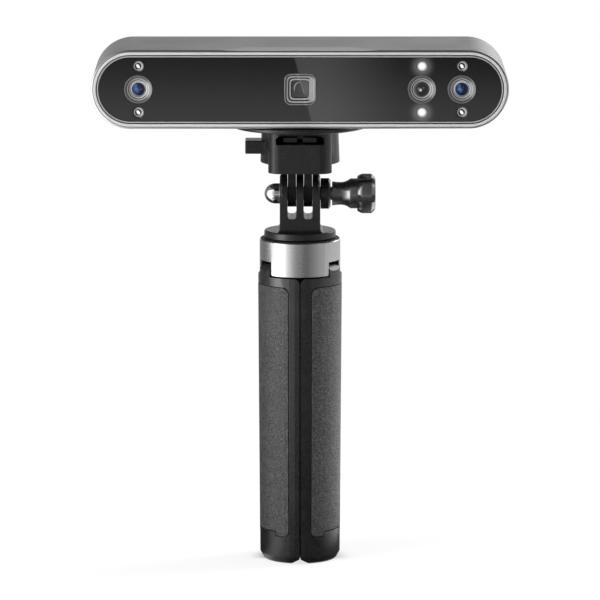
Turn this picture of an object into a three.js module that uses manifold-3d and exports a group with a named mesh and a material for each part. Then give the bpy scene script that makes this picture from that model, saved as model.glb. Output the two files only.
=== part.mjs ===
// A handheld three-d scanner on a quick-release mount, a clamped two-and-three-finger joint and a grip
// that opens into a three-legged stand. Millimetres, +Z up; the scanner looks along -Y and +X is to the
// right of someone who faces it. The origin lies on the ground, in the middle of the closed legs.
import * as THREE from "three";
import { mergeVertices } from "three/addons/utils/BufferGeometryUtils.js";
import { ConvexGeometry } from "three/addons/geometries/ConvexGeometry.js";
import Module from "manifold-3d";

const wasm = await Module();
wasm.setup();

// Clearances
const seatGap = 0.3; // between pieces that rest on each other
const seamGap = 0.12; // round trim, glass and lenses
const turnGap = 0.16; // round pins, bolts and studs
const slideGap = 0.25; // beside buttons, the lever and the dovetail
const overrun = 1; // how far a cutter runs past what it cuts
const weldDistance = 0.0001; // corners closer than this are one corner

// Scanner head: a lying capsule outline, drawn from front to back
const headWidth = 153;
const headHeight = 29;
const headDepth = 45;
const shellWall = 1.5;
const frontEdgeRound = 0.5;
const rearEdgeRound = 2.4;
const lipWidth = 0.65; // the shell's own bright edge round the bezel
const lipClearance = 0.15; // behind the bezel
const bezelWidth = 1;
const grooveWidth = 0.4;
const grooveDepth = 0.7;
const trimRingWidth = 0.45;
const trimRingSink = 0.2;
const windowSink = 0.45;
const windowThickness = 1.4;
const bezelFlangeWidth = 1.2;
const bezelFlangeThickness = 0.6;

// Shallow slanted scoop in the top front edge
const scoopFrontHalf = 30.5;
const scoopFloorHalf = 23;
const scoopBackHalf = 20.5;
const scoopLength = 9.5;
const scoopDepth = 0.35;

// Optics: places are offsets from the middle of the head
const cameraFromEnd = 17.3; // from the head's end to an infrared camera
const cameraSpacing = 14.6; // from the colour camera to the infrared one beside it
const infraredCameraX = headWidth / 2 - cameraFromEnd;
const colourCameraX = infraredCameraX - cameraSpacing;
const lensRingRadius = 5.15;
const lensRingDepth = 3.6;
const lensStepWidth = 0.75;
const lensStepDepth = 0.35;
const lensStepCount = 3;
const lensDome = 0.6;
const lensThickness = 1.6;
const ledWidthShare = 0.379; // a light's radius to the band between camera ring and bezel flange
const ledPlaceShare = 0.619; // its middle in that band
const ledRimShare = 0.22; // its rim to its radius
const ledRimDepth = 0.4;
const ledDome = 0.55;
const ledDepth = 3.2;
const projectorHalf = 5.75;
const projectorCorner = 2.6;
const projectorPaneCorner = 0.6;
const projectorStepWidth = 0.85;
const projectorStepDepth = 0.35;
const projectorFrameDepth = 3.6;
const projectorPaneThickness = 1.2;
const moduleBarrelRadius = 5;
const moduleBarrelLength = 8;
const moduleBodySize = 15;
const projectorBodyWidth = 24;
const projectorClearance = 0.5; // over the threaded insert
const projectorNoseLength = 5;

// Inside the head
const chassisThickness = 2.5;
const chassisY = 3.4; // middle of the plate that carries the optics
const chassisSlotHalf = 7;
const chassisSlotSpacing = 16.6; // from the colour camera to the slot beside it
const chassisSlotX = colourCameraX - chassisSlotSpacing;
const chassisSlotHeight = 6;
const postRadius = 2.7;
const postFromEnd = 14.5;
const postX = headWidth / 2 - postFromEnd;
const postFromEdge = 7;
const postZ = headHeight / 2 - postFromEdge;
const boardFromEnd = 28.5;
const boardWidth = headWidth - 2 * boardFromEnd;
const boardFromEdge = 4;
const boardHeight = headHeight - 2 * boardFromEdge;
const boardThickness = 1.6;
const boardGapBehind = 6.4; // from the board to the rear cover's inner face
const boardBossRadius = 2;
const boardBossMargin = 6;
const boardBossX = boardWidth / 2 - boardBossMargin;
const boardBossFromEdge = 3.5;
const boardBossZ = boardHeight / 2 - boardBossFromEdge;
const chipSize = 12;
const chipThickness = 1.5;
const chipMargin = 26;
const chipX = boardWidth / 2 - chipMargin;
const switchSize = 5;

// Rear cover, its screws, inlet and buttons
const coverThickness = 2.2;
const coverSink = 0.4;
const ventCount = 3;
const ventPitch = 2.9;
const ventWidth = 1.4;
const ventLengthShare = 0.0588; // half a vent's length to the head's width
const ventHalfLength = headWidth * ventLengthShare;
const ventShare = 0.2353; // a vent's place to the head's width
const ventX = headWidth * ventShare;
const screwHeadRadius = 1.9;
const screwHeadHeight = 1.1;
const screwShankRadius = 1;
const screwLength = 8;
const screwDriveRadius = 0.9;
const inletWidth = 9;
const inletHeight = 3.2;
const inletWall = 0.35;
const inletDepth = 6;
const inletShare = 0.1242;
const inletX = headWidth * inletShare;
const scanButtonFromEdge = 8;
const scanButtonRadius = headHeight / 2 - scanButtonFromEdge;
const sideButtonHalf = 5;
const sideButtonRadius = 3.2;
const sideButtonShare = 0.1209;
const sideButtonX = -headWidth * sideButtonShare;
const sideButtonZ = 5.2;
const buttonProud = 0.6;
const buttonTravel = 0.45;
const buttonFlange = 0.8;
const buttonFlangeThickness = 0.7;
const buttonStemRadius = 1.5;
const statusLightRadius = 0.9;
const statusLightFromEdge = 4.9;
const statusLightZ = headHeight / 2 - statusLightFromEdge;

// Mounting plate under the head, its dovetail rail, screw and the head's threaded insert
const plateRadius = 25.5;
const plateThickness = 1.55;
const plateEdge = 0.35;
const railHeight = 4.8;
const railBottomHalf = 8.6;
const railTopHalf = 6.7;
const railShoulder = 1.8; // height of the rail's straight lower flank
const railSlopeHeight = 1.9;
const railLength = 23.1;
const railFront = 11.5; // from the middle to the rail's front end
const railTongueLength = 2.5; // the low lead-in at the rail's front
const railTongueHalf = 6.1; // half its width at the very front
const railTongueHeight = 1.9;
const railGrooveHalf = 1;
const railGrooveDepth = 2.2;
const mountScrewRadius = 3.05;
const mountScrewHeadRadius = 5.4;
const mountScrewHeadHeight = 1.9;
const mountScrewHeadSink = 0.5;
const mountScrewSlot = 1.2;
const insertRadius = 5;
const insertFlangeRadius = 7.5;
const insertFlangeHeight = 3;
const projectorBodyHeight = headHeight - 2 * (shellWall + insertFlangeHeight + projectorClearance);

// Quick-release receiver with two fingers
const receiverTopRadius = 14.2;
const receiverBottomRadius = 14.7;
const receiverBlockWall = 3.15; // beside the dovetail channel
const receiverBlockHalf = railBottomHalf + receiverBlockWall;
const receiverBlockFront = 15.2;
const receiverBlockBack = 12.6;
const receiverBlockCorner = 4.6;
const receiverBaseHeight = 2.75; // from the block's underside to the round body's
const receiverFloorHeight = 10.9; // from the block's underside to the dovetail channel
const fingerThickness = 3;
const fingerRadius = 5;
const fingerRootHalf = 7;
const receiverClearance = 9.35; // from the tilt axis to the block's underside

// Release lever in the receiver's left side, and its spring
const leverReach = 20.3; // from the middle to the lever's outer face
const leverHeight = 4.9;
const leverWidth = 9;
const leverTopOffset = 0.05; // above the channel's floor
const leverTongueHeight = 3.1;
const leverTongueWidth = 5;
const leverTongueEnd = 6; // from the middle to the tongue's inner end
const leverTravel = 2.5;
const leverWall = 1.6; // between its pocket and the dovetail channel
const leverShoulder = railBottomHalf + 2 * slideGap + leverTravel + leverWall; // its head's inner end
const leverEdge = 0.4;
const springRadius = 1.25;
const springWire = 0.5;
const springTurns = 4;
const springLength = 5;

// Three-finger adapter on a round flange
const prongRadius = 7.5;
const prongPitch = 6; // from one slot's middle to the other's
const outerProng = 3; // from a finger's face to the adapter's side
const adapterHalfWidth = (prongPitch + fingerThickness) / 2 + outerProng;
const fingerPlay = 0.15; // beside each of the receiver's fingers
const slotWidth = fingerThickness + 2 * fingerPlay;
const slotCorner = 1.1;
const pinHeight = 13.47; // tilt axis above the flange
const slotRoot = 4.92; // from the flange to the slots' floor
const slotDepth = pinHeight - slotRoot; // below the tilt axis
const flangeRadius = 13.3;
const flangeThickness = 2.58;
const flangeEdge = 0.7; // the round at its top
const flangeFootEdge = 0.12;
const prongEdge = 0.8; // the bevel round the outer prongs' tops
const skirtHeight = 1.3;
const skirtFlare = 0.9;

// Clamp: bolt, thumb knob, spacer and domed nut on the tilt axis
const boltRadius = 2.5;
const boltEnd = 9.4; // past the middle, on the nut's side
const boltKnobDepth = 8;
const spacerStart = adapterHalfWidth + seatGap;
const spacerThickness = 3.55;
const spacerRadius = 5.7;
const spacerEdge = 0.7;
const knobGap = 0.55; // from the spacer to the knob
const knobStart = spacerStart + spacerThickness + knobGap;
const knobLength = 16.1;
const knobNeckRadius = 4.5;
const knobWaistRadius = 4.25;
const knobWaist = 3.4;
const knobBarrelRadius = 5.6;
const knobBarrelStart = 6.7;
const knobHeadRadius = 7.35;
const knobHeadLength = 6.2;
const knobHeadEdge = 0.5;
const knobTipEdge = 1.6;
const knobLobes = 6;
const knobGrooveRadius = 0.55;
const knobGrooveDepth = 1.25;
const nutAcrossFlats = 8;
const nutShoulder = 0.2; // from the hexagon's flats in to the dome
const nutRadius = nutAcrossFlats / 2 - nutShoulder;
const nutReach = 13.2; // from the middle to the dome's tip
const nutCollar = 1.6; // straight part before the dome
const nutPocketDepth = 2.2;

// Grip: collar, hub, stud and hinge pins
const legTopRadius = 15.55;
const collarStep = 0.57; // from the legs' face in to the collar's
const collarRadius = legTopRadius - collarStep;
const collarWall = 2.38;
const collarBore = collarRadius - collarWall;
const collarHeight = 12.8;
const collarEdge = 0.25;
const knuckleHalf = 3.5;
const notchHalf = knuckleHalf + slideGap;
const notchHeight = 5.25;
const tongueCorner = 1.2;
const knuckleSweep = 2.85; // from a hinge pin to the leg's outer face
const knuckleInner = 2.1; // inwards from the hinge pin
const hingeRadius = legTopRadius - knuckleSweep; // from the grip's axis to a hinge pin
const hubCoreClearance = 2; // between the core and the knuckles
const hubCoreRadius = hingeRadius - knuckleInner - hubCoreClearance;
const hubCoreLength = 13.4;
const hubCoreEdge = 1.2;
const hubShoulderStep = 0.23; // from the collar's face in to the shoulder's
const hubShoulderRadius = collarRadius - hubShoulderStep;
const flangeSeatMargin = 0.2;
const hubShoulderTopRadius = flangeRadius + flangeSeatMargin;
const hubShoulderHeight = 0.25;
const studRadius = 3.17;
const studHeight = 5.6; // above the hub
const studHoleDepth = studHeight + 2 * seatGap;
const studSunk = 9;
const hingeRise = 2.35; // hinge pins above the legs' shoulders
const hingePinRadius = 0.7;
const hingePinSkin = 0.24; // collar left outside a pin's hole
const hingeHoleReach = collarRadius - hingePinSkin - hingePinRadius - turnGap;
const hingePinHalf = Math.sqrt(hingeHoleReach ** 2 - hingeRadius ** 2) - seatGap;

// Legs, grip panels and feet
const legHeight = 108.05;
const legTaper = 0.65;
const legBottomRadius = legTopRadius - legTaper;
const legGap = 0.4; // between neighbouring legs
const footBevelWidth = 1.5;
const footRadius = legBottomRadius - footBevelWidth;
const footBevelHeight = 2.5;
const footVHalf = 3.1;
const footVHeight = 1.85;
const footVInner = 3;
const legLipThickness = 0.47;
const legLipHeight = 1.5;
const legCorner = 1.7;
const legCornerShare = 0.42; // where the rounding's middle lies, to its width
const legWall = 3;
const legHollowTop = 10.5; // solid height left under the shoulder
const legHollowBottom = 7;
const legFaceWall = 3.1;
const legHollowRadius = legBottomRadius - legFaceWall;
const legSlotHalf = 3;
const knuckleTop = 1.7; // above the hinge pin
const knuckleSlant = 1.9; // width of the slant along its outer top edge
const knuckleSlantShare = 0.42; // how far the slant has dropped half way out, so that it bulges a little
const knuckleRound = 1;
const panelThickness = 1;
const panelProud = 0.06;
const panelHalfArc = 11.75; // along the leg's outer face
const panelSeam = 0.3; // groove round the panel
const panelTopZ = 104.5;
const panelBottomZ = 12.3;
const panelTabDrop = 1.7;
const panelTabArc = 5.4;
const panelCorner = 1.9;
const panelTopCorner = 2.5;
const footPadFromEdge = 1.8;
const footPadRadius = footRadius - footPadFromEdge;
const footPadMargin = 1.5;
const footPadInner = 6.4;
const footPadThickness = 1;
const footPadProud = 0.2;

// How finely round shapes are divided
const gripSides = 48;
const roundSides = 40;
const smallSides = 16;
const tinySides = 8;
const arcSteps = 3; // along a quarter turn
const domeSteps = 3;
const ledSides = 12;
const capsuleSteps = 14; // along each half-round end of the head
const springSides = 5;
const springStepsPerTurn = 8;

// Heights above the ground, stacked from the legs up
const collarBottomZ = legHeight + seatGap;
const collarTopZ = collarBottomZ + collarHeight;
const notchTopZ = collarBottomZ + notchHeight;
const hingeZ = legHeight + hingeRise;
const hubTopZ = collarTopZ + seamGap + hubShoulderHeight;
const flangeBottomZ = hubTopZ + seatGap;
const flangeTopZ = flangeBottomZ + flangeThickness;
const tiltZ = flangeTopZ + pinHeight;
const receiverBottomZ = tiltZ + receiverClearance;
const receiverBodyZ = receiverBottomZ + receiverBaseHeight;
const channelFloorZ = receiverBottomZ + receiverFloorHeight;
const railBottomZ = channelFloorZ + seatGap;
const plateBottomZ = railBottomZ + railHeight;
const receiverTopZ = plateBottomZ - seatGap;
const plateTopZ = plateBottomZ + plateThickness;
const headZ = plateTopZ + seatGap + headHeight / 2;

// The head's front-to-back places
const frontY = -headDepth / 2;
const rearY = headDepth / 2;
const bezelInset = lipWidth + seamGap;
const grooveInset = bezelInset + bezelWidth;
const trimRingInset = grooveInset + grooveWidth;
const windowInset = trimRingInset + trimRingWidth + seamGap;
const ledBand = headHeight / 2 - windowInset - bezelFlangeWidth - lensRingRadius;
const ledRadius = ledBand * ledWidthShare;
const ledOffset = lensRingRadius + ledBand * ledPlaceShare;
const ledRim = ledRadius * ledRimShare;
const windowFrontY = frontY + windowSink;
const windowBackY = windowFrontY + windowThickness;
const bezelFlangeY = windowBackY + seatGap;
const lipBackY = bezelFlangeY + bezelFlangeThickness + lipClearance;
const shellInset = shellWall;
const coverBackY = rearY - coverSink;
const coverFrontY = coverBackY - coverThickness;
const chassisFrontY = chassisY - chassisThickness / 2;
const chassisBackY = chassisY + chassisThickness / 2;
const opticsBackY = windowFrontY + lensRingDepth;
const boardBackY = coverFrontY - boardGapBehind;
const boardFrontY = boardBackY - boardThickness;

function material(color, roughness, metalness) {
  return new THREE.MeshStandardMaterial({ color, roughness, metalness });
}

const greyAluminium = material(0x8a8b8d, 0.42, 0.85);
const polishedAluminium = material(0xd6d7d8, 0.18, 1);
const satinAluminium = material(0xa9aaab, 0.3, 1);
const blackGlass = material(0x1c1c1d, 0.08, 0);
const lensGlass = material(0x1d2f52, 0.05, 0);
const darkMetal = material(0x6f6f70, 0.35, 0.9);
const ledChrome = material(0xc8c8c8, 0.2, 0.9);
const ledWhite = material(0xf6f8ff, 0.3, 0);
const blackPlastic = material(0x252525, 0.5, 0);
const legPlastic = material(0x2e2e2f, 0.55, 0);
const gripRubber = material(0x4b4b4c, 0.85, 0);
const padRubber = material(0x1f1f1f, 0.9, 0);
const boardGreen = material(0x1f5a3a, 0.6, 0);
const brass = material(0xb08d4a, 0.35, 1);
const steel = material(0xb4b6b8, 0.3, 1);
const chrome = material(0xdadcde, 0.12, 1);
const blackAnodised = material(0x161617, 0.22, 0.6);

// A geometry as a closed solid with shared vertices, right way out.
function solid(geometry) {
  const bare = geometry.index ? geometry.toNonIndexed() : geometry.clone();
  for (const attribute of Object.keys(bare.attributes)) {
    if (attribute !== "position") bare.deleteAttribute(attribute);
  }
  const merged = mergeVertices(bare, weldDistance);
  const places = merged.attributes.position;
  const corner = (index) => new THREE.Vector3().fromBufferAttribute(places, index);
  const triangles = [];
  let volume = 0;
  for (let i = 0; i < merged.index.count; i += 3) {
    const [a, b, c] = [0, 1, 2].map((step) => merged.index.getX(i + step));
    if (a === b || b === c || c === a) continue;
    triangles.push([a, b, c]);
    volume += corner(a).dot(corner(b).cross(corner(c)));
  }
  const ordered = volume < 0 ? triangles.map(([a, b, c]) => [a, c, b]) : triangles;
  return new wasm.Manifold(
    new wasm.Mesh({
      numProp: 3,
      vertProperties: places.array,
      triVerts: new Uint32Array(ordered.flat()),
    }),
  );
}

function asSolid(shape) {
  return shape instanceof wasm.Manifold ? shape : solid(shape);
}

function joined(first, ...others) {
  return others.reduce((whole, other) => whole.add(asSolid(other)), asSolid(first));
}

function cut(whole, ...tools) {
  return tools.reduce((rest, tool) => rest.subtract(asSolid(tool)), asSolid(whole));
}

function common(one, other) {
  return asSolid(one).intersect(asSolid(other));
}

function piece(name, shape, finish) {
  const data = asSolid(shape).getMesh();
  const geometry = new THREE.BufferGeometry();
  geometry.setAttribute("position", new THREE.BufferAttribute(data.vertProperties, 3));
  geometry.setIndex(new THREE.BufferAttribute(data.triVerts, 1));
  geometry.computeVertexNormals();
  const mesh = new THREE.Mesh(geometry, finish);
  mesh.name = name;
  return mesh;
}

function group(...children) {
  return new THREE.Group().add(...children);
}

// A box between two values along each axis.
function box([x0, x1], [y0, y1], [z0, z1]) {
  return new THREE.BoxGeometry(x1 - x0, y1 - y0, z1 - z0)
    .translate((x0 + x1) / 2, (y0 + y1) / 2, (z0 + z1) / 2);
}

function bothSides(half) {
  return [-half, half];
}

// A profile of [radius, height] turned round the Z axis.
function turned(profile, sides = roundSides) {
  const points = profile.map(([radius, height]) => new THREE.Vector2(radius, height));
  return new THREE.LatheGeometry(points, sides).rotateX(Math.PI / 2);
}

// The same turned round the X axis, with heights along +X.
function turnedAlongX(profile, sides = smallSides) {
  return turned(profile, sides).rotateY(Math.PI / 2);
}

// The same turned round the Y axis, with heights pointing to the front, along -Y.
function turnedToFront(profile, sides = smallSides) {
  return turned(profile, sides).rotateX(Math.PI / 2);
}

function rod(radius, from, to) {
  return [[0, from], [radius, from], [radius, to], [0, to]];
}

function extruded(shape, depth) {
  return new THREE.ExtrudeGeometry(shape, { depth, bevelEnabled: false, curveSegments: arcSteps });
}

// An outline drawn in X and Y, standing from one height to another.
function upright(shape, zLow, zHigh) {
  return extruded(shape, zHigh - zLow).translate(0, 0, zLow);
}

// An outline drawn in X and Z, running from front to back.
function frontal(shape, yFront, yBack) {
  const turn = new THREE.Matrix4().makeBasis(
    new THREE.Vector3(1, 0, 0),
    new THREE.Vector3(0, 0, 1),
    new THREE.Vector3(0, -1, 0),
  );
  return extruded(shape, yBack - yFront).applyMatrix4(turn).translate(0, yBack, 0);
}

// An outline drawn in Y and Z, running from left to right.
function sideways(shape, xLow, xHigh) {
  const turn = new THREE.Matrix4().makeBasis(
    new THREE.Vector3(0, 1, 0),
    new THREE.Vector3(0, 0, 1),
    new THREE.Vector3(1, 0, 0),
  );
  return extruded(shape, xHigh - xLow).applyMatrix4(turn).translate(xLow, 0, 0);
}

function polygon(points) {
  return new THREE.Shape(points.map(([u, v]) => new THREE.Vector2(u, v)));
}

// A rectangle with round corners between two values along each direction.
function roundedRectangle([u0, u1], [v0, v1], radius) {
  const shape = new THREE.Shape();
  shape.moveTo(u0 + radius, v0);
  shape.lineTo(u1 - radius, v0);
  shape.absarc(u1 - radius, v0 + radius, radius, -Math.PI / 2, 0);
  shape.lineTo(u1, v1 - radius);
  shape.absarc(u1 - radius, v1 - radius, radius, 0, Math.PI / 2);
  shape.lineTo(u0 + radius, v1);
  shape.absarc(u0 + radius, v1 - radius, radius, Math.PI / 2, Math.PI);
  shape.lineTo(u0, v0 + radius);
  shape.absarc(u0 + radius, v0 + radius, radius, Math.PI, 1.5 * Math.PI);
  return shape;
}

// A closed body through rings of as many points each; every ring is convex.
function loft(rings) {
  const count = rings[0].length;
  const last = rings[rings.length - 1];
  const corners = [];
  for (let i = 1; i + 1 < count; i++) {
    corners.push(rings[0][0], rings[0][i + 1], rings[0][i]);
    corners.push(last[0], last[i], last[i + 1]);
  }
  for (let k = 0; k + 1 < rings.length; k++) {
    for (let i = 0; i < count; i++) {
      const j = (i + 1) % count;
      corners.push(rings[k][i], rings[k][j], rings[k + 1][j]);
      corners.push(rings[k][i], rings[k + 1][j], rings[k + 1][i]);
    }
  }
  return new THREE.BufferGeometry().setFromPoints(corners);
}

// The head's capsule outline, drawn in by an inset, at one place from front to back.
function capsuleRing(inset, y) {
  const radius = headHeight / 2 - inset;
  const straight = headWidth / 2 - headHeight / 2;
  const ring = [];
  for (const side of [1, -1]) {
    for (let step = 0; step <= capsuleSteps; step++) {
      const angle = Math.PI * (step / capsuleSteps - 0.5);
      const x = side * (straight + radius * Math.cos(angle));
      ring.push(new THREE.Vector3(x, y, side * radius * Math.sin(angle)));
    }
  }
  return ring;
}

function capsule(inset, yFront, yBack) {
  return loft([capsuleRing(inset, yFront), capsuleRing(inset, yBack)]);
}

// A capsule tube between two insets.
function capsuleTube(outerInset, innerInset, yFront, yBack) {
  return cut(
    capsule(outerInset, yFront, yBack),
    capsule(innerInset, yFront - overrun, yBack + overrun),
  );
}

// Rings that round off an edge of the capsule, from its flat face to its side.
function roundedRings(radius, yFace, inwards) {
  const rings = [];
  for (let step = 0; step <= arcSteps; step++) {
    const angle = (Math.PI / 2) * (step / arcSteps);
    const inset = radius * (1 - Math.sin(angle));
    rings.push(capsuleRing(inset, yFace + inwards * radius * (1 - Math.cos(angle))));
  }
  return rings;
}

// Head shell and front

function scoopCutter() {
  const top = headHeight / 2;
  const points = [];
  for (const side of [-1, 1]) {
    points.push(new THREE.Vector3(side * scoopFrontHalf, frontY, top));
    points.push(new THREE.Vector3(side * scoopFloorHalf, frontY, top - scoopDepth));
    points.push(new THREE.Vector3(side * scoopFrontHalf, frontY - overrun, top));
    points.push(new THREE.Vector3(side * scoopFloorHalf, frontY - overrun, top - scoopDepth));
    points.push(new THREE.Vector3(side * scoopBackHalf, frontY + scoopLength, top));
    points.push(new THREE.Vector3(side * scoopFrontHalf, frontY - overrun, top + overrun));
    points.push(new THREE.Vector3(side * scoopBackHalf, frontY + scoopLength, top + overrun));
  }
  return new ConvexGeometry(points);
}

function headShell() {
  const outside = loft([
    ...roundedRings(frontEdgeRound, frontY, 1),
    ...roundedRings(rearEdgeRound, rearY, -1).reverse(),
  ]);
  const floor = -headHeight / 2;
  return cut(
    outside,
    capsule(lipWidth, frontY - overrun, lipBackY),
    capsule(shellInset, frontY, rearY - rearEdgeRound),
    capsule(rearEdgeRound, frontY, rearY + overrun),
    turned(rod(insertRadius + seamGap, floor - overrun, floor + shellWall + overrun), smallSides),
    scoopCutter(),
  );
}

function frontBezel() {
  const back = bezelFlangeY + bezelFlangeThickness;
  const rim = capsuleTube(bezelInset, grooveInset, frontY, back);
  const grooveFloor = capsuleTube(bezelInset, trimRingInset - seamGap, frontY + grooveDepth, back);
  const flange = capsuleTube(bezelInset, windowInset + bezelFlangeWidth, bezelFlangeY, back);
  return joined(rim, grooveFloor, flange);
}

function trimRing() {
  return capsuleTube(trimRingInset, trimRingInset + trimRingWidth, frontY + trimRingSink, windowBackY);
}

// Places of everything that looks through the window, as offsets from the middle of the head.
const cameraPlaces = {
  left_infrared: -infraredCameraX,
  colour: colourCameraX,
  right_infrared: infraredCameraX,
};
const ledPlaces = {
  left_upper_led: [-infraredCameraX, ledOffset],
  left_lower_led: [-infraredCameraX, -ledOffset],
  colour_upper_led: [colourCameraX, ledOffset],
  colour_lower_led: [colourCameraX, -ledOffset],
  right_upper_led: [infraredCameraX, ledOffset],
  right_lower_led: [infraredCameraX, -ledOffset],
};

function roundedSquare(half, corner) {
  return roundedRectangle(bothSides(half), bothSides(half), corner);
}

function frontWindow() {
  const cutters = [];
  for (const x of Object.values(cameraPlaces)) {
    const radius = lensRingRadius + seamGap;
    cutters.push(turnedToFront(rod(radius, -windowBackY - overrun, -frontY)).translate(x, 0, 0));
  }
  for (const [x, z] of Object.values(ledPlaces)) {
    const hole = rod(ledRadius + seamGap, -windowBackY - overrun, -frontY);
    cutters.push(turnedToFront(hole, ledSides).translate(x, 0, z));
  }
  const squareHole = roundedSquare(projectorHalf + seamGap, projectorCorner + seamGap);
  cutters.push(frontal(squareHole, frontY, windowBackY + overrun));
  return cut(capsule(windowInset, windowFrontY, windowBackY), ...cutters);
}

// A camera's ring: steps that lead in to the lens.
const lensBoreRadius = lensRingRadius - lensStepCount * lensStepWidth;

function lensRing() {
  const front = -windowFrontY;
  const profile = [[lensRingRadius, front - lensRingDepth], [lensRingRadius, front]];
  for (let step = 1; step <= lensStepCount; step++) {
    const radius = lensRingRadius - step * lensStepWidth;
    profile.push([radius + lensStepWidth / 2, front - (step - 1) * lensStepDepth]);
    profile.push([radius + lensStepWidth / 2, front - step * lensStepDepth]);
  }
  profile.push([lensBoreRadius, front - lensStepCount * lensStepDepth]);
  profile.push([lensBoreRadius, front - lensRingDepth]);
  profile.push([lensRingRadius, front - lensRingDepth]);
  return turnedToFront(profile, smallSides);
}

// A disc with a domed front.
function domed(radius, rim, dome, thickness, sides = smallSides) {
  const profile = [[0, rim - thickness], [radius, rim - thickness]];
  for (let step = 0; step < domeSteps; step++) {
    const angle = (Math.PI / 2) * (step / domeSteps);
    profile.push([radius * Math.cos(angle), rim + dome * Math.sin(angle)]);
  }
  profile.push([0, rim + dome]);
  return turnedToFront(profile, sides);
}

function lens() {
  const rim = -windowFrontY - lensStepCount * lensStepDepth - lensDome;
  return domed(lensBoreRadius - seamGap, rim, lensDome, lensThickness);
}

function led() {
  const front = -windowFrontY;
  const body = turnedToFront(rod(ledRadius, front - ledDepth, front), ledSides);
  const wellZ = front - ledRimDepth - ledDome;
  const well = turnedToFront(rod(ledRadius - ledRim, wellZ, front + overrun), ledSides);
  const bulb = domed(ledRadius - 2 * ledRim, wellZ, ledDome, ledRimDepth, ledSides);
  return joined(cut(body, well), bulb);
}

const projectorPaneHalf = projectorHalf - 3 * projectorStepWidth;

function projectorFrame() {
  const front = windowFrontY;
  const block = frontal(roundedSquare(projectorHalf, projectorCorner), front, front + projectorFrameDepth);
  const steps = [1, 2].map((step) => {
    const half = projectorHalf - step * projectorStepWidth;
    const corner = projectorCorner - step * projectorStepWidth;
    return frontal(roundedSquare(half, corner), front - overrun, front + step * projectorStepDepth);
  });
  const bore = roundedSquare(projectorPaneHalf, projectorPaneCorner);
  return cut(block, ...steps, frontal(bore, front - overrun, front + projectorFrameDepth + overrun));
}

function projectorPane() {
  const front = windowFrontY + 3 * projectorStepDepth;
  const pane = roundedSquare(projectorPaneHalf - seamGap, projectorPaneCorner - seamGap);
  return frontal(pane, front, front + projectorPaneThickness);
}

// Inside the head

// The colour camera sits close to the right infrared one, so its block is narrower.
const colourModuleHalf = infraredCameraX - colourCameraX - moduleBodySize / 2 - seatGap;

// A camera's barrel and the block behind it, which rests on the chassis.
function cameraModule(halfWidth) {
  const noseY = opticsBackY + seatGap;
  const bodyFrontY = noseY + moduleBarrelLength - overrun;
  const barrel = turnedToFront(rod(moduleBarrelRadius, -noseY - moduleBarrelLength, -noseY));
  const depth = [bodyFrontY, chassisFrontY - seatGap];
  return joined(barrel, box(bothSides(halfWidth), depth, bothSides(moduleBodySize / 2)));
}

function projectorModule() {
  const noseY = windowFrontY + projectorFrameDepth + seatGap;
  const noseDepth = [noseY, noseY + projectorNoseLength + overrun];
  const nose = box(bothSides(projectorHalf), noseDepth, bothSides(projectorHalf));
  const body = box(
    bothSides(projectorBodyWidth / 2),
    [noseY + projectorNoseLength, chassisFrontY - seatGap],
    bothSides(projectorBodyHeight / 2),
  );
  return joined(nose, body);
}

const postPlaces = [
  [-postX, -postZ],
  [-postX, postZ],
  [postX, -postZ],
  [postX, postZ],
];

function chassis() {
  const plate = capsule(shellInset + seatGap, chassisFrontY, chassisBackY);
  const slots = [-1, 1].map((side) => {
    const middle = side * chassisSlotX;
    const width = [middle - chassisSlotHalf, middle + chassisSlotHalf];
    return box(width, [chassisFrontY - overrun, chassisBackY + overrun], bothSides(chassisSlotHeight / 2));
  });
  const postEndY = coverFrontY - seatGap;
  const bosses = postPlaces.map(([x, z]) =>
    turnedToFront(rod(postRadius, -postEndY, -chassisY), tinySides).translate(x, 0, z));
  const holes = postPlaces.map(([x, z]) => {
    const bottomY = coverBackY - screwHeadHeight - screwLength - seatGap;
    const hole = rod(screwShankRadius + turnGap, -postEndY - overrun, -bottomY);
    return turnedToFront(hole, tinySides).translate(x, 0, z);
  });
  const floorZ = -headHeight / 2;
  const insertRoom = box(
    bothSides(insertFlangeRadius + seatGap),
    [chassisFrontY - overrun, chassisBackY + overrun],
    [floorZ, floorZ + shellWall + insertFlangeHeight + 2 * seatGap],
  );
  return cut(joined(plate, ...bosses), ...slots, ...holes, insertRoom);
}

// Where each button pushes, and how its cap is shaped.
const sideButton = { x: sideButtonX, half: sideButtonHalf - sideButtonRadius, radius: sideButtonRadius };
const buttonCaps = {
  scan_button: { x: 0, z: 0, half: 0, radius: scanButtonRadius },
  plus_button: { ...sideButton, z: sideButtonZ },
  minus_button: { ...sideButton, z: -sideButtonZ },
};
const buttonFlangeFrontY = coverFrontY - seatGap - buttonFlangeThickness;
const switchTipY = boardBackY + switchSize / 2;
const boardBossPlaces = [
  [-boardBossX, -boardBossZ],
  [-boardBossX, boardBossZ],
  [boardBossX, -boardBossZ],
  [boardBossX, boardBossZ],
];

function mainBoard() {
  const plate = box(bothSides(boardWidth / 2), [boardFrontY, boardBackY], bothSides(boardHeight / 2));
  const chips = [-1, 1].map((side) => {
    const middle = side * chipX;
    const width = [middle - chipSize / 2, middle + chipSize / 2];
    const depth = [boardFrontY - chipThickness, boardFrontY + chipThickness / 2];
    return box(width, depth, bothSides(chipSize / 2));
  });
  const switches = Object.values(buttonCaps).map(({ x, z }) => {
    const width = [x - switchSize / 2, x + switchSize / 2];
    return box(width, [boardFrontY, switchTipY], [z - switchSize / 2, z + switchSize / 2]);
  });
  return joined(plate, ...chips, ...switches);
}

// Rear cover with its vents, screws, inlet and buttons

function flatCapsule(half, radius) {
  const shape = new THREE.Shape();
  shape.absarc(half, 0, radius, -Math.PI / 2, Math.PI / 2);
  shape.absarc(-half, 0, radius, Math.PI / 2, 1.5 * Math.PI);
  return shape;
}

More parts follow.
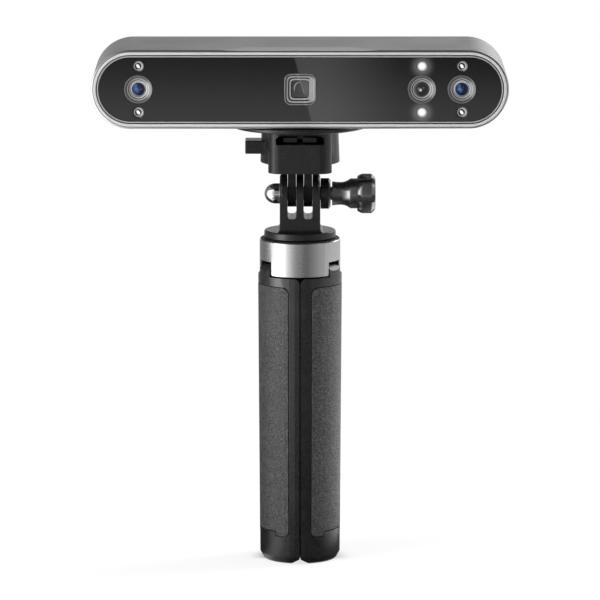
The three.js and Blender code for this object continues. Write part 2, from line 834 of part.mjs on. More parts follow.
function capPrism({ x, z, half, radius }, grow, yFront, yBack) {
  if (half === 0) return turnedToFront(rod(radius + grow, -yBack, -yFront)).translate(x, 0, z);
  return frontal(flatCapsule(half, radius + grow), yFront, yBack).translate(x, 0, z);
}

function inletOutline(grow) {
  const halfHeight = inletHeight / 2 + grow;
  return flatCapsule(inletWidth / 2 - inletHeight / 2, halfHeight);
}

function rearCover() {
  const through = [coverFrontY - overrun, coverBackY + overrun];
  const buttonHoles = Object.values(buttonCaps).map((cap) => capPrism(cap, slideGap, ...through));
  const inletHole = frontal(inletOutline(inletWall + seamGap), ...through).translate(inletX, 0, 0);
  const lightHole = turnedToFront(rod(statusLightRadius + seamGap, -through[1], -through[0]), tinySides)
    .translate(0, 0, statusLightZ);
  const vents = [];
  for (const side of [-1, 1]) {
    for (let index = 0; index < ventCount; index++) {
      const z = (index - (ventCount - 1) / 2) * ventPitch;
      const slot = frontal(flatCapsule(ventHalfLength, ventWidth / 2), ...through);
      vents.push(slot.translate(side * ventX, 0, z));
    }
  }
  const screwHoles = postPlaces.flatMap(([x, z]) => {
    const headSeatY = coverBackY - screwHeadHeight;
    return [
      turnedToFront(rod(screwShankRadius + turnGap, -through[1], -through[0]), tinySides).translate(x, 0, z),
      turnedToFront(rod(screwHeadRadius + seamGap, -through[1], -headSeatY), tinySides).translate(x, 0, z),
    ];
  });
  const bosses = boardBossPlaces.map(([x, z]) => {
    const boss = rod(boardBossRadius, -coverFrontY - overrun, -boardBackY - seatGap);
    return turnedToFront(boss, tinySides).translate(x, 0, z);
  });
  const plate = joined(capsule(rearEdgeRound + seamGap, coverFrontY, coverBackY), ...bosses);
  return cut(plate, ...buttonHoles, inletHole, lightHole, ...vents, ...screwHoles);
}

function coverScrew() {
  const headSeatY = coverBackY - screwHeadHeight + seamGap;
  const head = turnedToFront(rod(screwHeadRadius, -coverBackY, -headSeatY), tinySides);
  const tipY = coverBackY - screwHeadHeight - screwLength;
  const shank = turnedToFront(rod(screwShankRadius, -headSeatY - seamGap, -tipY), tinySides);
  const driveY = coverBackY - screwHeadHeight / 2;
  const drive = turnedToFront(rod(screwDriveRadius, -coverBackY - overrun, -driveY), tinySides);
  return cut(joined(head, shank), drive);
}

function statusLight() {
  const light = turnedToFront(rod(statusLightRadius, -coverBackY, -coverFrontY), tinySides);
  return light.translate(0, 0, statusLightZ);
}

function usbInlet() {
  const backY = coverBackY - seamGap;
  const mouth = frontal(inletOutline(0), backY - inletDepth, backY + overrun);
  const body = frontal(inletOutline(inletWall), boardBackY + seatGap, backY);
  return cut(body, mouth).translate(inletX, 0, 0);
}

function button(cap) {
  const face = capPrism(cap, 0, buttonFlangeFrontY, rearY + buttonProud);
  const flange = capPrism(cap, buttonFlange, buttonFlangeFrontY, buttonFlangeFrontY + buttonFlangeThickness);
  const stemEndY = switchTipY + buttonTravel + seamGap;
  const stem = rod(buttonStemRadius, -buttonFlangeFrontY - seamGap, -stemEndY);
  return joined(face, flange, turnedToFront(stem, tinySides).translate(cap.x, 0, cap.z));
}

// Mounting plate, its screw and the insert that takes it

// Outline of the dovetail with a clearance at its sides.
function dovetail(sideGap, bottomZ, shoulderZ, topZ) {
  const [wide, narrow] = [railBottomHalf + sideGap, railTopHalf + sideGap];
  const neckZ = shoulderZ + railSlopeHeight;
  return polygon([
    [-wide, bottomZ],
    [wide, bottomZ],
    [wide, shoulderZ],
    [narrow, neckZ],
    [narrow, topZ],
    [-narrow, topZ],
    [-narrow, neckZ],
    [-wide, shoulderZ],
  ]);
}

const channelShoulderZ = railBottomZ + railShoulder;

const mountScrewSeatZ = railBottomZ + mountScrewHeadSink + mountScrewHeadHeight;

function mountPlate() {
  const disc = turned([
    [0, plateBottomZ],
    [plateRadius - plateEdge, plateBottomZ],
    [plateRadius, plateBottomZ + plateEdge],
    [plateRadius, plateTopZ - plateEdge],
    [plateRadius - plateEdge, plateTopZ],
    [0, plateTopZ],
  ]);
  const outline = dovetail(0, railBottomZ, channelShoulderZ - seatGap, plateTopZ - plateThickness / 2);
  const rail = frontal(outline, -railFront, railLength - railFront);
  const grooveTopZ = railBottomZ + railGrooveDepth;
  const groove = box(
    bothSides(railGrooveHalf),
    [-railFront - overrun, railLength - railFront + overrun],
    [railBottomZ - overrun, grooveTopZ],
  );
  const hole = turned(rod(mountScrewRadius + turnGap, railBottomZ, plateTopZ + overrun), smallSides);
  const headHole = turned(
    rod(mountScrewHeadRadius + seatGap, railBottomZ - overrun, mountScrewSeatZ + seatGap),
    smallSides,
  );
  const tongueBackY = railTongueLength - railFront;
  const overTongue = box(
    bothSides(railBottomHalf + overrun),
    [-railFront - overrun, tongueBackY],
    [railBottomZ + railTongueHeight, plateBottomZ],
  );
  const leadIns = [-1, 1].map((side) => upright(polygon([
    [side * railTongueHalf, -railFront],
    [side * railTongueHalf, -railFront - overrun],
    [side * (railBottomHalf + overrun), -railFront - overrun],
    [side * (railBottomHalf + overrun), tongueBackY],
    [side * railBottomHalf, tongueBackY],
  ]), railBottomZ - overrun, plateBottomZ));
  return cut(joined(disc, cut(rail, overTongue, ...leadIns)), groove, hole, headHole);
}

function mountScrew() {
  const headBottomZ = railBottomZ + mountScrewHeadSink;
  const head = turned(rod(mountScrewHeadRadius, headBottomZ, mountScrewSeatZ), smallSides);
  const tipZ = headZ - headHeight / 2 + shellWall + insertFlangeHeight - overrun;
  const shank = turned(rod(mountScrewRadius, headBottomZ + mountScrewSlot, tipZ), smallSides);
  const slot = box(
    bothSides(mountScrewHeadRadius + overrun),
    bothSides(mountScrewSlot / 2),
    [headBottomZ - overrun, headBottomZ + mountScrewSlot / 2],
  );
  return cut(joined(head, shank), slot);
}

function tripodInsert() {
  const floorZ = headZ - headHeight / 2;
  const seatZ = floorZ + shellWall + seamGap;
  const topZ = seatZ + insertFlangeHeight;
  return cut(
    joined(
      turned(rod(insertRadius, floorZ + seamGap, seatZ + seamGap), smallSides),
      turned(rod(insertFlangeRadius, seatZ, topZ), smallSides),
    ),
    turned(rod(mountScrewRadius + turnGap, floorZ - overrun, topZ + overrun), smallSides),
  );
}

// The hole that the clamp's bolt passes through, between two places along it.
function boltBore(from, to) {
  return turnedAlongX(rod(boltRadius + turnGap, from, to)).translate(0, 0, tiltZ);
}

// Receiver, lever and spring

const leverTopZ = channelFloorZ + leverTopOffset;
const leverBottomZ = leverTopZ - leverHeight;
const leverTongueTopZ = leverBottomZ + leverTongueHeight;
const leverShoulderX = -leverShoulder;
const springZ = leverBottomZ + leverTongueHeight / 2;

function finger(side) {
  const shape = new THREE.Shape();
  const topZ = receiverBottomZ + overrun;
  shape.moveTo(-fingerRootHalf, topZ);
  shape.lineTo(-fingerRadius, tiltZ);
  shape.absarc(0, tiltZ, fingerRadius, Math.PI, 2 * Math.PI);
  shape.lineTo(fingerRootHalf, topZ);
  const middle = (side * prongPitch) / 2;
  return sideways(shape, middle - fingerThickness / 2, middle + fingerThickness / 2);
}

function leverPocket() {
  const headEndX = leverShoulderX + leverTravel + slideGap;
  const head = box(
    [-leverReach, headEndX],
    bothSides(leverWidth / 2 + slideGap),
    [leverBottomZ - slideGap, leverTopZ + slideGap],
  );
  const tongue = box(
    [-leverReach, -leverTongueEnd + leverTravel + slideGap],
    bothSides(leverTongueWidth / 2 + slideGap),
    [leverBottomZ - slideGap, leverTongueTopZ + slideGap],
  );
  const springEndX = -leverTongueEnd + seatGap + springLength + leverTravel + slideGap;
  const springRoom = springRadius + springWire / 2 + slideGap;
  const spring = turnedAlongX(rod(springRoom, -leverTongueEnd, springEndX), tinySides)
    .translate(0, 0, springZ);
  return joined(head, tongue, spring);
}

function receiver() {
  const front = Math.max(receiverBlockFront, receiverTopRadius, receiverBottomRadius);
  const round = turned([
    [0, receiverBodyZ],
    [receiverBottomRadius, receiverBodyZ],
    [receiverTopRadius, receiverTopZ],
    [0, receiverTopZ],
  ]);
  const plan = roundedRectangle(
    bothSides(receiverBlockHalf),
    [-receiverBlockFront, receiverBlockBack],
    receiverBlockCorner,
  );
  const block = upright(plan, receiverBottomZ, receiverTopZ);
  const channelBackY = railLength - railFront + seatGap;
  const channel = frontal(
    dovetail(slideGap, channelFloorZ, channelShoulderZ, receiverTopZ + overrun),
    -front - overrun,
    channelBackY,
  );
  const pinHole = boltBore(-adapterHalfWidth, adapterHalfWidth);
  return cut(joined(round, block, finger(-1), finger(1)), channel, leverPocket(), pinHole);
}

function releaseLever() {
  const head = sideways(
    roundedRectangle(bothSides(leverWidth / 2), [leverBottomZ, leverTopZ], leverEdge),
    -leverReach,
    leverShoulderX,
  );
  const tongue = box(
    [leverShoulderX - overrun, -leverTongueEnd],
    bothSides(leverTongueWidth / 2),
    [leverBottomZ, leverTongueTopZ],
  );
  return joined(head, tongue);
}

// The coil: one wire wound in a helix along X, its ends cut square.
class CoilCurve extends THREE.Curve {
  getPoint(share, target = new THREE.Vector3()) {
    const angle = 2 * Math.PI * springTurns * share;
    const length = springLength - springWire;
    return target.set(
      springWire / 2 + length * share,
      springRadius * Math.cos(angle),
      springRadius * Math.sin(angle),
    );
  }
}

function leverSpring() {
  const section = new THREE.Shape();
  for (let side = 0; side < springSides; side++) {
    const angle = (2 * Math.PI * side) / springSides;
    const [u, v] = [(springWire / 2) * Math.cos(angle), (springWire / 2) * Math.sin(angle)];
    if (side === 0) section.moveTo(u, v);
    else section.lineTo(u, v);
  }
  const wire = new THREE.ExtrudeGeometry(section, {
    steps: springTurns * springStepsPerTurn,
    extrudePath: new CoilCurve(),
    bevelEnabled: false,
  });
  return wire.translate(-leverTongueEnd + seatGap, 0, springZ);
}

// Adapter and clamp

// Profile points that round off a disc's top edge.
function roundedRim(radius, top, round) {
  return Array.from({ length: arcSteps + 1 }, (_, step) => {
    const angle = (Math.PI / 2) * (step / arcSteps);
    return [radius - round + round * Math.cos(angle), top - round + round * Math.sin(angle)];
  });
}

// Bevels the top of an outer prong, round the tilt axis.
function prongBevel(side) {
  const reach = adapterHalfWidth - prongEdge;
  const ring = turnedAlongX([
    [prongRadius + overrun, side * (reach - overrun)],
    [prongRadius - prongEdge - overrun, side * (adapterHalfWidth + overrun)],
    [prongRadius + overrun, side * (adapterHalfWidth + overrun)],
    [prongRadius + overrun, side * (reach - overrun)],
  ], roundSides).translate(0, 0, tiltZ);
  const above = box(
    bothSides(adapterHalfWidth + 2 * overrun),
    bothSides(prongRadius + 2 * overrun),
    [tiltZ, tiltZ + prongRadius + 2 * overrun],
  );
  return common(ring, above);
}

function adapter() {
  const shape = new THREE.Shape();
  shape.moveTo(-prongRadius, flangeBottomZ + flangeThickness / 2);
  shape.lineTo(prongRadius, flangeBottomZ + flangeThickness / 2);
  shape.lineTo(prongRadius, tiltZ);
  shape.absarc(0, tiltZ, prongRadius, 0, Math.PI);
  const prongs = sideways(shape, -adapterHalfWidth, adapterHalfWidth);
  const skirtRing = (grow, z) => [[-1, -1], [1, -1], [1, 1], [-1, 1]].map(([u, v]) =>
    new THREE.Vector3(u * (adapterHalfWidth + grow), v * (prongRadius + grow), z));
  const skirt = loft([
    skirtRing(skirtFlare, flangeTopZ - flangeThickness / 2),
    skirtRing(skirtFlare, flangeTopZ),
    skirtRing(skirtFlare / 3, flangeTopZ + skirtHeight / 3),
    skirtRing(-seamGap, flangeTopZ + skirtHeight),
  ]);
  const flange = turned([
    [0, flangeBottomZ],
    [flangeRadius - flangeFootEdge, flangeBottomZ],
    [flangeRadius, flangeBottomZ + flangeFootEdge],
    ...roundedRim(flangeRadius, flangeTopZ, flangeEdge),
    [0, flangeTopZ],
  ]);
  const slots = [-1, 1].map((side) => {
    const middle = (side * prongPitch) / 2;
    const width = [middle - slotWidth / 2, middle + slotWidth / 2];
    const outline = roundedRectangle(width, [tiltZ - slotDepth, tiltZ + 2 * prongRadius], slotCorner);
    return frontal(outline, -prongRadius - overrun, prongRadius + overrun);
  });
  const boltHole = boltBore(-adapterHalfWidth - overrun, adapterHalfWidth + overrun);
  const nutPocket = nutHexagon(seamGap, -adapterHalfWidth - overrun, nutPocketDepth - adapterHalfWidth);
  const studTopZ = flangeBottomZ + studHoleDepth;
  const studHole = turned(rod(studRadius + turnGap, flangeBottomZ - overrun, studTopZ), smallSides);
  const body = cut(joined(flange, prongs, skirt), prongBevel(-1), prongBevel(1));
  return cut(body, ...slots, boltHole, nutPocket, studHole);
}

function nutHexagon(grow, xLow, xHigh) {
  const radius = (nutAcrossFlats / 2 + grow) / Math.cos(Math.PI / 6);
  return turnedAlongX(rod(radius, xLow, xHigh), 6).translate(0, 0, tiltZ);
}

function domedNut() {
  const hexagon = nutHexagon(0, -adapterHalfWidth, nutPocketDepth - adapterHalfWidth - seamGap);
  const dome = [[0, -adapterHalfWidth + seamGap], [nutRadius, -adapterHalfWidth + seamGap]];
  const domeStart = adapterHalfWidth + nutCollar;
  for (let step = 0; step <= arcSteps; step++) {
    const angle = (Math.PI / 2) * (step / arcSteps);
    const reach = domeStart + (nutReach - domeStart) * Math.sin(angle);
    dome.push([nutRadius * Math.cos(angle), -reach]);
  }
  const body = joined(hexagon, turnedAlongX(dome).translate(0, 0, tiltZ));
  return cut(body, boltBore(-boltEnd - seatGap, 0));
}

function pivotBolt() {
  return turnedAlongX(rod(boltRadius, -boltEnd, knobStart + boltKnobDepth)).translate(0, 0, tiltZ);
}

function spacerWasher() {
  const end = spacerStart + spacerThickness;
  const ring = turnedAlongX([
    [boltRadius + turnGap, spacerStart],
    [spacerRadius, spacerStart],
    [spacerRadius, end - spacerEdge],
    [spacerRadius - spacerEdge, end],
    [boltRadius + turnGap, end],
    [boltRadius + turnGap, spacerStart],
  ], roundSides / 2);
  return ring.translate(0, 0, tiltZ);
}

function thumbKnob() {
  const end = knobStart + knobLength;
  const headStart = end - knobHeadLength;
  const body = turnedAlongX([
    [0, knobStart],
    [knobNeckRadius, knobStart],
    [(knobNeckRadius + knobWaistRadius) / 2, knobStart + knobWaist / 2],
    [knobWaistRadius, knobStart + knobWaist],
    [(knobWaistRadius + knobBarrelRadius) / 2, knobStart + (knobWaist + knobBarrelStart) / 2],
    [knobBarrelRadius, knobStart + knobBarrelStart],
    [knobBarrelRadius, headStart],
    [knobHeadRadius - knobHeadEdge, headStart],
    [knobHeadRadius, headStart + knobHeadEdge],
    [knobHeadRadius, end - knobTipEdge],
    [knobHeadRadius - knobTipEdge, end],
    [0, end],
  ], roundSides / 2).translate(0, 0, tiltZ);
  const grooves = [];
  for (let lobe = 0; lobe < knobLobes; lobe++) {
    const reach = knobHeadRadius - knobGrooveDepth + knobGrooveRadius;
    const foot = turnedAlongX(rod(knobGrooveRadius, headStart - overrun, end + overrun), tinySides);
    const wall = box(
      [headStart - overrun, end + overrun],
      bothSides(knobGrooveRadius),
      [0, knobGrooveDepth + overrun],
    );
    const angle = ((lobe + 0.5) * 2 * Math.PI) / knobLobes;
    for (const tool of [foot, wall]) {
      grooves.push(tool.translate(0, 0, reach).rotateX(angle).translate(0, 0, tiltZ));
    }
  }
  return cut(body, ...grooves, boltBore(knobStart - overrun, knobStart + boltKnobDepth + seatGap));
}

// Grip: collar, hub, stud and pins. The three hinges lie at thirds of a turn, at the legs' middles.

const legAngles = { left: -Math.PI / 3, right: Math.PI / 3, rear: Math.PI };

function notchCutter() {
  const shape = new THREE.Shape();
  const arcZ = collarBottomZ + tongueCorner;
  const flare = notchHalf + tongueCorner;
  shape.moveTo(-flare, collarBottomZ - overrun);
  shape.lineTo(flare, collarBottomZ - overrun);
  shape.lineTo(flare, collarBottomZ);
  shape.absarc(flare, arcZ, tongueCorner, 1.5 * Math.PI, Math.PI, true);
  shape.lineTo(notchHalf, notchTopZ);
  shape.lineTo(-notchHalf, notchTopZ);
  shape.absarc(-flare, arcZ, tongueCorner, 0, -Math.PI / 2, true);
  return frontal(shape, -collarRadius - overrun, -collarBore / 2);
}

function hingeRod(radius, half) {
  return turnedAlongX(rod(radius, -half, half), tinySides).translate(0, -hingeRadius, hingeZ);
}

function collar() {
  const ring = turned([
    [collarBore, collarBottomZ],
    [collarRadius - collarEdge, collarBottomZ],
    [collarRadius, collarBottomZ + collarEdge],
    [collarRadius, collarTopZ - collarEdge],
    [collarRadius - collarEdge, collarTopZ],
    [collarBore, collarTopZ],
    [collarBore, collarBottomZ],
  ], gripSides);
  const tools = Object.values(legAngles).flatMap((angle) => [
    notchCutter().rotateZ(angle),
    hingeRod(hingePinRadius + turnGap, hingePinHalf + seatGap).rotateZ(angle),
  ]);
  return cut(ring, ...tools);
}

function tripodHub() {
  const shoulderZ = collarTopZ + seamGap;
  const discZ = notchTopZ + seatGap;
  const coreZ = discZ - hubCoreLength;
  const discRadius = collarBore - seatGap;
  return cut(
    turned([
      [0, coreZ],
      [hubCoreRadius - hubCoreEdge, coreZ],
      [hubCoreRadius, coreZ + hubCoreEdge],
      [hubCoreRadius, discZ],
      [discRadius, discZ],
      [discRadius, shoulderZ],
      [hubShoulderRadius, shoulderZ],
      [hubShoulderRadius - collarEdge, shoulderZ + hubShoulderHeight / 2],
      [hubShoulderTopRadius, hubTopZ],
      [0, hubTopZ],
    ]),
    turned(rod(studRadius + turnGap, hubTopZ - studSunk, hubTopZ + overrun), smallSides),
  );
}

function tripodStud() {
  return turned(rod(studRadius, hubTopZ - studSunk + seatGap, hubTopZ + studHeight), smallSides);
}

// Legs: each is drawn facing the front and turned into place

// The wedge that one leg may fill, drawn in by a distance from both of its side planes.
function legWedge(margin, zLow, zHigh) {
  const reach = 2 * legTopRadius;
  const apex = margin / Math.sin(Math.PI / 3);
  const side = [Math.sin(Math.PI / 3) * reach, -apex - Math.cos(Math.PI / 3) * reach];
  const shape = polygon([[0, -apex], [-side[0], side[1]], [0, -2 * reach], side]);
  return upright(shape, zLow, zHigh);
}

// Radius of the leg's outer face at a height.
function legRadius(z) {
  const share = (z - footBevelHeight) / (legHeight - footBevelHeight);
  return legBottomRadius + (legTopRadius - legBottomRadius) * share;
}

// A ring that follows the leg's taper, from a depth below its face to a height above it.
function taperedRing(depth, proud, zLow, zHigh) {
  return turned([
    [legRadius(zLow) - depth, zLow],
    [legRadius(zLow) + proud, zLow],
    [legRadius(zHigh) + proud, zHigh],
    [legRadius(zHigh) - depth, zHigh],
    [legRadius(zLow) - depth, zLow],
  ], gripSides);
}

// An outline on the leg's face, with u along its arc and v upwards, as a wedge pointing at the axis.
function radialPrism(shape, innerRadius, outerRadius) {
  const geometry = extruded(shape, outerRadius - innerRadius);
  const places = geometry.attributes.position;
  for (let i = 0; i < places.count; i++) {
    const angle = places.getX(i) / legTopRadius;
    const radius = innerRadius + places.getZ(i);
    places.setXYZ(i, radius * Math.sin(angle), -radius * Math.cos(angle), places.getY(i));
  }
  return geometry;
}

function panelOutline(grow) {
  const half = panelHalfArc + grow;
  const top = panelTopZ + grow;
  const bottom = panelBottomZ - grow;
  const tab = bottom - panelTabDrop;
  const tabInner = panelHalfArc - panelTabArc - grow;
  const shape = new THREE.Shape();
  shape.moveTo(-half + panelCorner, tab);
  shape.lineTo(-tabInner, tab);
  shape.lineTo(-tabInner, bottom);
  shape.lineTo(tabInner, bottom);
  shape.lineTo(tabInner, tab);
  shape.lineTo(half - panelCorner, tab);
  shape.absarc(half - panelCorner, tab + panelCorner, panelCorner, -Math.PI / 2, 0);
  shape.lineTo(half, top - panelTopCorner);
  shape.absarc(half - panelTopCorner, top - panelTopCorner, panelTopCorner, 0, Math.PI / 2);
  shape.lineTo(-half + panelTopCorner, top);
  shape.absarc(-half + panelTopCorner, top - panelTopCorner, panelTopCorner, Math.PI / 2, Math.PI);
  shape.lineTo(-half, tab + panelCorner);
  shape.absarc(-half + panelCorner, tab + panelCorner, panelCorner, Math.PI, 1.5 * Math.PI);
  return shape;
}

function panelSolid(grow, depth, proud) {
  const ring = taperedRing(depth, proud, footBevelHeight, legHeight);
  return common(ring, radialPrism(panelOutline(grow), legTopRadius / 2, 2 * legTopRadius));
}

function knuckle() {
  const outerY = -legTopRadius;
  const innerY = knuckleInner - hingeRadius;
  const topZ = hingeZ + knuckleTop;
  const footZ = legHeight - legLipHeight - overrun;
  const shape = new THREE.Shape();
  shape.moveTo(outerY, footZ);
  shape.lineTo(innerY, footZ);
  shape.lineTo(innerY, topZ - knuckleRound);
  shape.absarc(innerY - knuckleRound, topZ - knuckleRound, knuckleRound, 0, Math.PI / 2);
  shape.lineTo(outerY + knuckleSlant, topZ);
  shape.lineTo(outerY + knuckleSlant / 2, topZ - knuckleSlant * knuckleSlantShare);
  shape.lineTo(outerY, topZ - knuckleSlant);
  return common(
    sideways(shape, -knuckleHalf, knuckleHalf),
    turned(rod(legTopRadius, footZ - overrun, topZ + overrun), gripSides),
  );
}

// What stands in for the lip behind the collar's notch, so that the knuckle has a root.
function knuckleRoot() {
  const zLow = legHeight - legLipHeight - overrun;
  return common(
    box(bothSides(knuckleHalf), [-2 * legTopRadius, knuckleInner - hingeRadius], [zLow, legHeight]),
    turned(rod(legTopRadius - legLipThickness / 2, zLow - overrun, legHeight + overrun)),
  );
}

// The V cut into the foot at both side planes, wider by a clearance.
function footNotches(grow) {
  const [wide, low, high] = [footVHalf + grow, footPadProud, footPadProud + footVHeight + grow];
  const foot = polygon([
    [-wide, low - overrun],
    [wide, low - overrun],
    [wide, low],
    [0, high],
    [-wide, low],
  ]);
  return [-1, 1].map((side) =>
    frontal(foot, -2 * legTopRadius, -footVInner).rotateZ((side * Math.PI) / 3));
}

// Rounds off the top corners at both side planes.
function cornerCutters() {
  const corner = polygon([
    [-legCorner, legHeight + overrun],
    [-legCorner, legHeight],
    [-legCorner * legCornerShare, legHeight - legCorner * legCornerShare],
    [0, legHeight - legCorner - legGap],
    [legCorner * legCornerShare, legHeight - legCorner * legCornerShare],
    [legCorner, legHeight],
    [legCorner, legHeight + overrun],
  ]);
  return [-1, 1].map((side) =>
    frontal(corner, -2 * legTopRadius, -hubCoreRadius).rotateZ((side * Math.PI) / 3));
}

function footPadPlan(margin, zLow, zHigh) {
  const ring = turned([
    [footPadInner - margin, zLow],
    [footPadRadius + margin, zLow],
    [footPadRadius + margin, zHigh],
    [footPadInner - margin, zHigh],
    [footPadInner - margin, zLow],
  ]);
  return common(ring, legWedge(legGap / 2 + footPadMargin - margin, zLow - overrun, zHigh + overrun));
}

function footPad() {
  return cut(footPadPlan(0, 0, footPadThickness), ...footNotches(seatGap));
}

function legShell() {
  const ground = footPadProud;
  const lipZ = legHeight - legLipHeight;
  const hollowTopZ = legHeight - legHollowTop;
  const topBore = hubCoreRadius + seatGap + slideGap;
  const blank = turned([
    [0, ground],
    [footRadius, ground],
    [legBottomRadius, ground + footBevelHeight],
    [legTopRadius, legHeight],
    [legTopRadius - legLipThickness, legHeight],
    [legTopRadius - legLipThickness, lipZ],
    [0, lipZ],
  ], gripSides);
  const wedge = legWedge(legGap / 2, -overrun, legHeight + overrun);
  const hollow = common(
    legWedge(legGap / 2 + legWall, legHollowBottom, hollowTopZ),
    turned(rod(legHollowRadius, legHollowBottom - overrun, hollowTopZ + overrun)),
  );
  const slot = box(bothSides(legSlotHalf), [-legHollowRadius / 2, 0], [legHollowBottom, hollowTopZ]);
  const hubRoom = turned(rod(topBore, hollowTopZ - seatGap, legHeight + overrun));
  const solidLeg = joined(common(blank, wedge), knuckleRoot(), knuckle());
  return cut(
    solidLeg,
    hollow,
    slot,
    hubRoom,
    panelSolid(panelSeam, panelThickness + seamGap, overrun),
    footPadPlan(seamGap, -overrun, footPadThickness + seatGap),
    hingeRod(hingePinRadius + turnGap, knuckleHalf + overrun),
    ...footNotches(0),
    ...cornerCutters(),
  );
}

function legGroup(side) {
  const leg = group(
    piece(`${side}_leg_shell`, legShell(), legPlastic),
    piece(`${side}_grip_panel`, panelSolid(0, panelThickness, panelProud), gripRubber),
    piece(`${side}_foot_pad`, footPad(), padRubber),
    piece(`${side}_hinge_pin`, hingeRod(hingePinRadius, hingePinHalf), steel),
  );
  leg.rotation.z = legAngles[side];
  return leg;
}

// Assembly

function headGroup() {
  const front = [
    piece("head_shell", headShell(), greyAluminium),
    piece("front_bezel", frontBezel(), polishedAluminium),
    piece("window_trim_ring", trimRing(), polishedAluminium),
    piece("front_window", frontWindow(), blackGlass),
    piece("projector_frame", projectorFrame(), darkMetal),
    piece("projector_window", projectorPane(), blackGlass),
    piece("projector_module", projectorModule(), darkMetal),
    piece("optics_chassis", chassis(), satinAluminium),
    piece("main_board", mainBoard(), boardGreen),
    piece("rear_cover", rearCover(), blackPlastic),
    piece("usb_inlet", usbInlet(), steel),
    piece("status_light", statusLight(), ledWhite),
  ];
  const cameras = Object.entries(cameraPlaces).map(([name, x]) => {
    const body = cameraModule(name === "colour" ? colourModuleHalf : moduleBodySize / 2);
    const camera = group(
      piece(`${name}_camera_ring`, lensRing(), darkMetal),
      piece(`${name}_camera_lens`, lens(), lensGlass),
      piece(`${name}_camera_module`, body, blackAnodised),
    );
    camera.position.x = x;
    return camera;
  });
  const leds = Object.entries(ledPlaces).map(([name, [x, z]]) => {
    const light = piece(name, led(), name.startsWith("colour") ? ledWhite : ledChrome);
    light.position.set(x, 0, z);
    return light;
  });
  const screws = postPlaces.map(([x, z], index) => {
    const screw = piece(`cover_screw_${index + 1}`, coverScrew(), steel);
    screw.position.set(x, 0, z);
    return screw;
  });
  const buttons = Object.entries(buttonCaps).map(([name, cap]) => piece(name, button(cap), padRubber));
  const head = group(...front, ...cameras, ...leds, ...screws, ...buttons);
  head.position.z = headZ;
  return head;
}

function mountGroup() {
  return group(
    piece("mount_plate", mountPlate(), blackPlastic),
    piece("mount_screw", mountScrew(), steel),
    piece("tripod_insert", tripodInsert(), brass),
    piece("quick_release_receiver", receiver(), blackPlastic),
    piece("release_lever", releaseLever(), blackPlastic),
    piece("lever_spring", leverSpring(), steel),
    piece("finger_adapter", adapter(), blackPlastic),
    piece("pivot_bolt", pivotBolt(), steel),
    piece("domed_nut", domedNut(), chrome),
    piece("spacer_washer", spacerWasher(), blackPlastic),
    piece("thumb_knob", thumbKnob(), blackAnodised),
  );
}

function gripGroup() {
  return group(
    piece("grip_collar", collar(), satinAluminium),
    piece("tripod_hub", tripodHub(), blackPlastic),
    piece("tripod_stud", tripodStud(), steel),
    ...Object.keys(legAngles).map(legGroup),
  );
}

export default group(headGroup(), mountGroup(), gripGroup());
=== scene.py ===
"""Looks of a handheld three-d scanner on a quick-release mount and a tripod grip, round its CAD part."""

import logging
import math
from dataclasses import dataclass
from enum import Enum
from typing import Any, Iterable, Sequence

import bmesh
import bpy
from mathutils import Matrix, Vector


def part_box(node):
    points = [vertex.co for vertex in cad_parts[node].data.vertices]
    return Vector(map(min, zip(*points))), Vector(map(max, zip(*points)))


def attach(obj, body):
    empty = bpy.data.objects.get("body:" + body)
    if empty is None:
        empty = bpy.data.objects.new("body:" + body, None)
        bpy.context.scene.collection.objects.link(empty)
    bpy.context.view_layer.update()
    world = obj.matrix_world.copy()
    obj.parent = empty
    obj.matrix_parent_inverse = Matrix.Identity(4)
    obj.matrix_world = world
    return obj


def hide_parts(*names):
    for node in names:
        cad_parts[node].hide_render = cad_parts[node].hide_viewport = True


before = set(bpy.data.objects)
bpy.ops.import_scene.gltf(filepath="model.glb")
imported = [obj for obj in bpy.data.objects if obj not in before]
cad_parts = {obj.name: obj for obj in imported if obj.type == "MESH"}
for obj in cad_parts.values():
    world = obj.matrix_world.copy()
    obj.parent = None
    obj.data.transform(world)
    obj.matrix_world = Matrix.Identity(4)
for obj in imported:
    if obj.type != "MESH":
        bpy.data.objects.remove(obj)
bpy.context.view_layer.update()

log = logging.getLogger("scanner")

Point = tuple[float, float, float]
Colour = tuple[float, float, float]
Profile = Sequence[tuple[float, float]]

MM = 0.001
QUARTER_TURN = math.pi / 2
FULL_TURN = 2 * math.pi
WHITE: Colour = (1.0, 1.0, 1.0)
UNLIT: Colour = (0.0, 0.0, 0.0)
# The edges of the light that glass and the projector's frame mirror lean by this much across per height.
LEAN = 0.267
MEND_REACH = 1e-4
NODE_REACH = 1e-3
FLAT_DEGREES = 0.6
CORNER_STEPS = 8
DOME_STEPS = 12


def srgb(*levels: float) -> Colour:
    """Turn screen levels from 0 to 255 into a linear colour.

    Args:
        levels: one grey level, or red, green and blue.

    Returns:
        The linear colour.
    """
    full = levels * 3 if len(levels) == 1 else levels
    linear = [((v / 255 + 0.055) / 1.055) ** 2.4 if v > 10 else v / 255 / 12.92 for v in full]
    return (linear[0], linear[1], linear[2])


def toned(colour: Colour, factor: float, lift: float = 0.0) -> Colour:
    """Make a linear colour lighter or darker, up to white.

    Args:
        colour: the colour.
        factor: what each of its levels is multiplied by.
        lift: what is added then.

    Returns:
        The new colour.
    """
    red, green, blue = (min(1.0, level * factor + lift) for level in colour)
    return (red, green, blue)


class Axis(Enum):
    """The direction that a turned or drawn form's own height points in."""

    UP = Matrix.Identity(4)
    RIGHT = Matrix.Rotation(QUARTER_TURN, 4, "Y")
    FRONT = Matrix.Rotation(QUARTER_TURN, 4, "X")


class Light(Enum):
    """How a bulb behind the window looks."""

    INFRARED = "infrared"
    WHITE = "white"


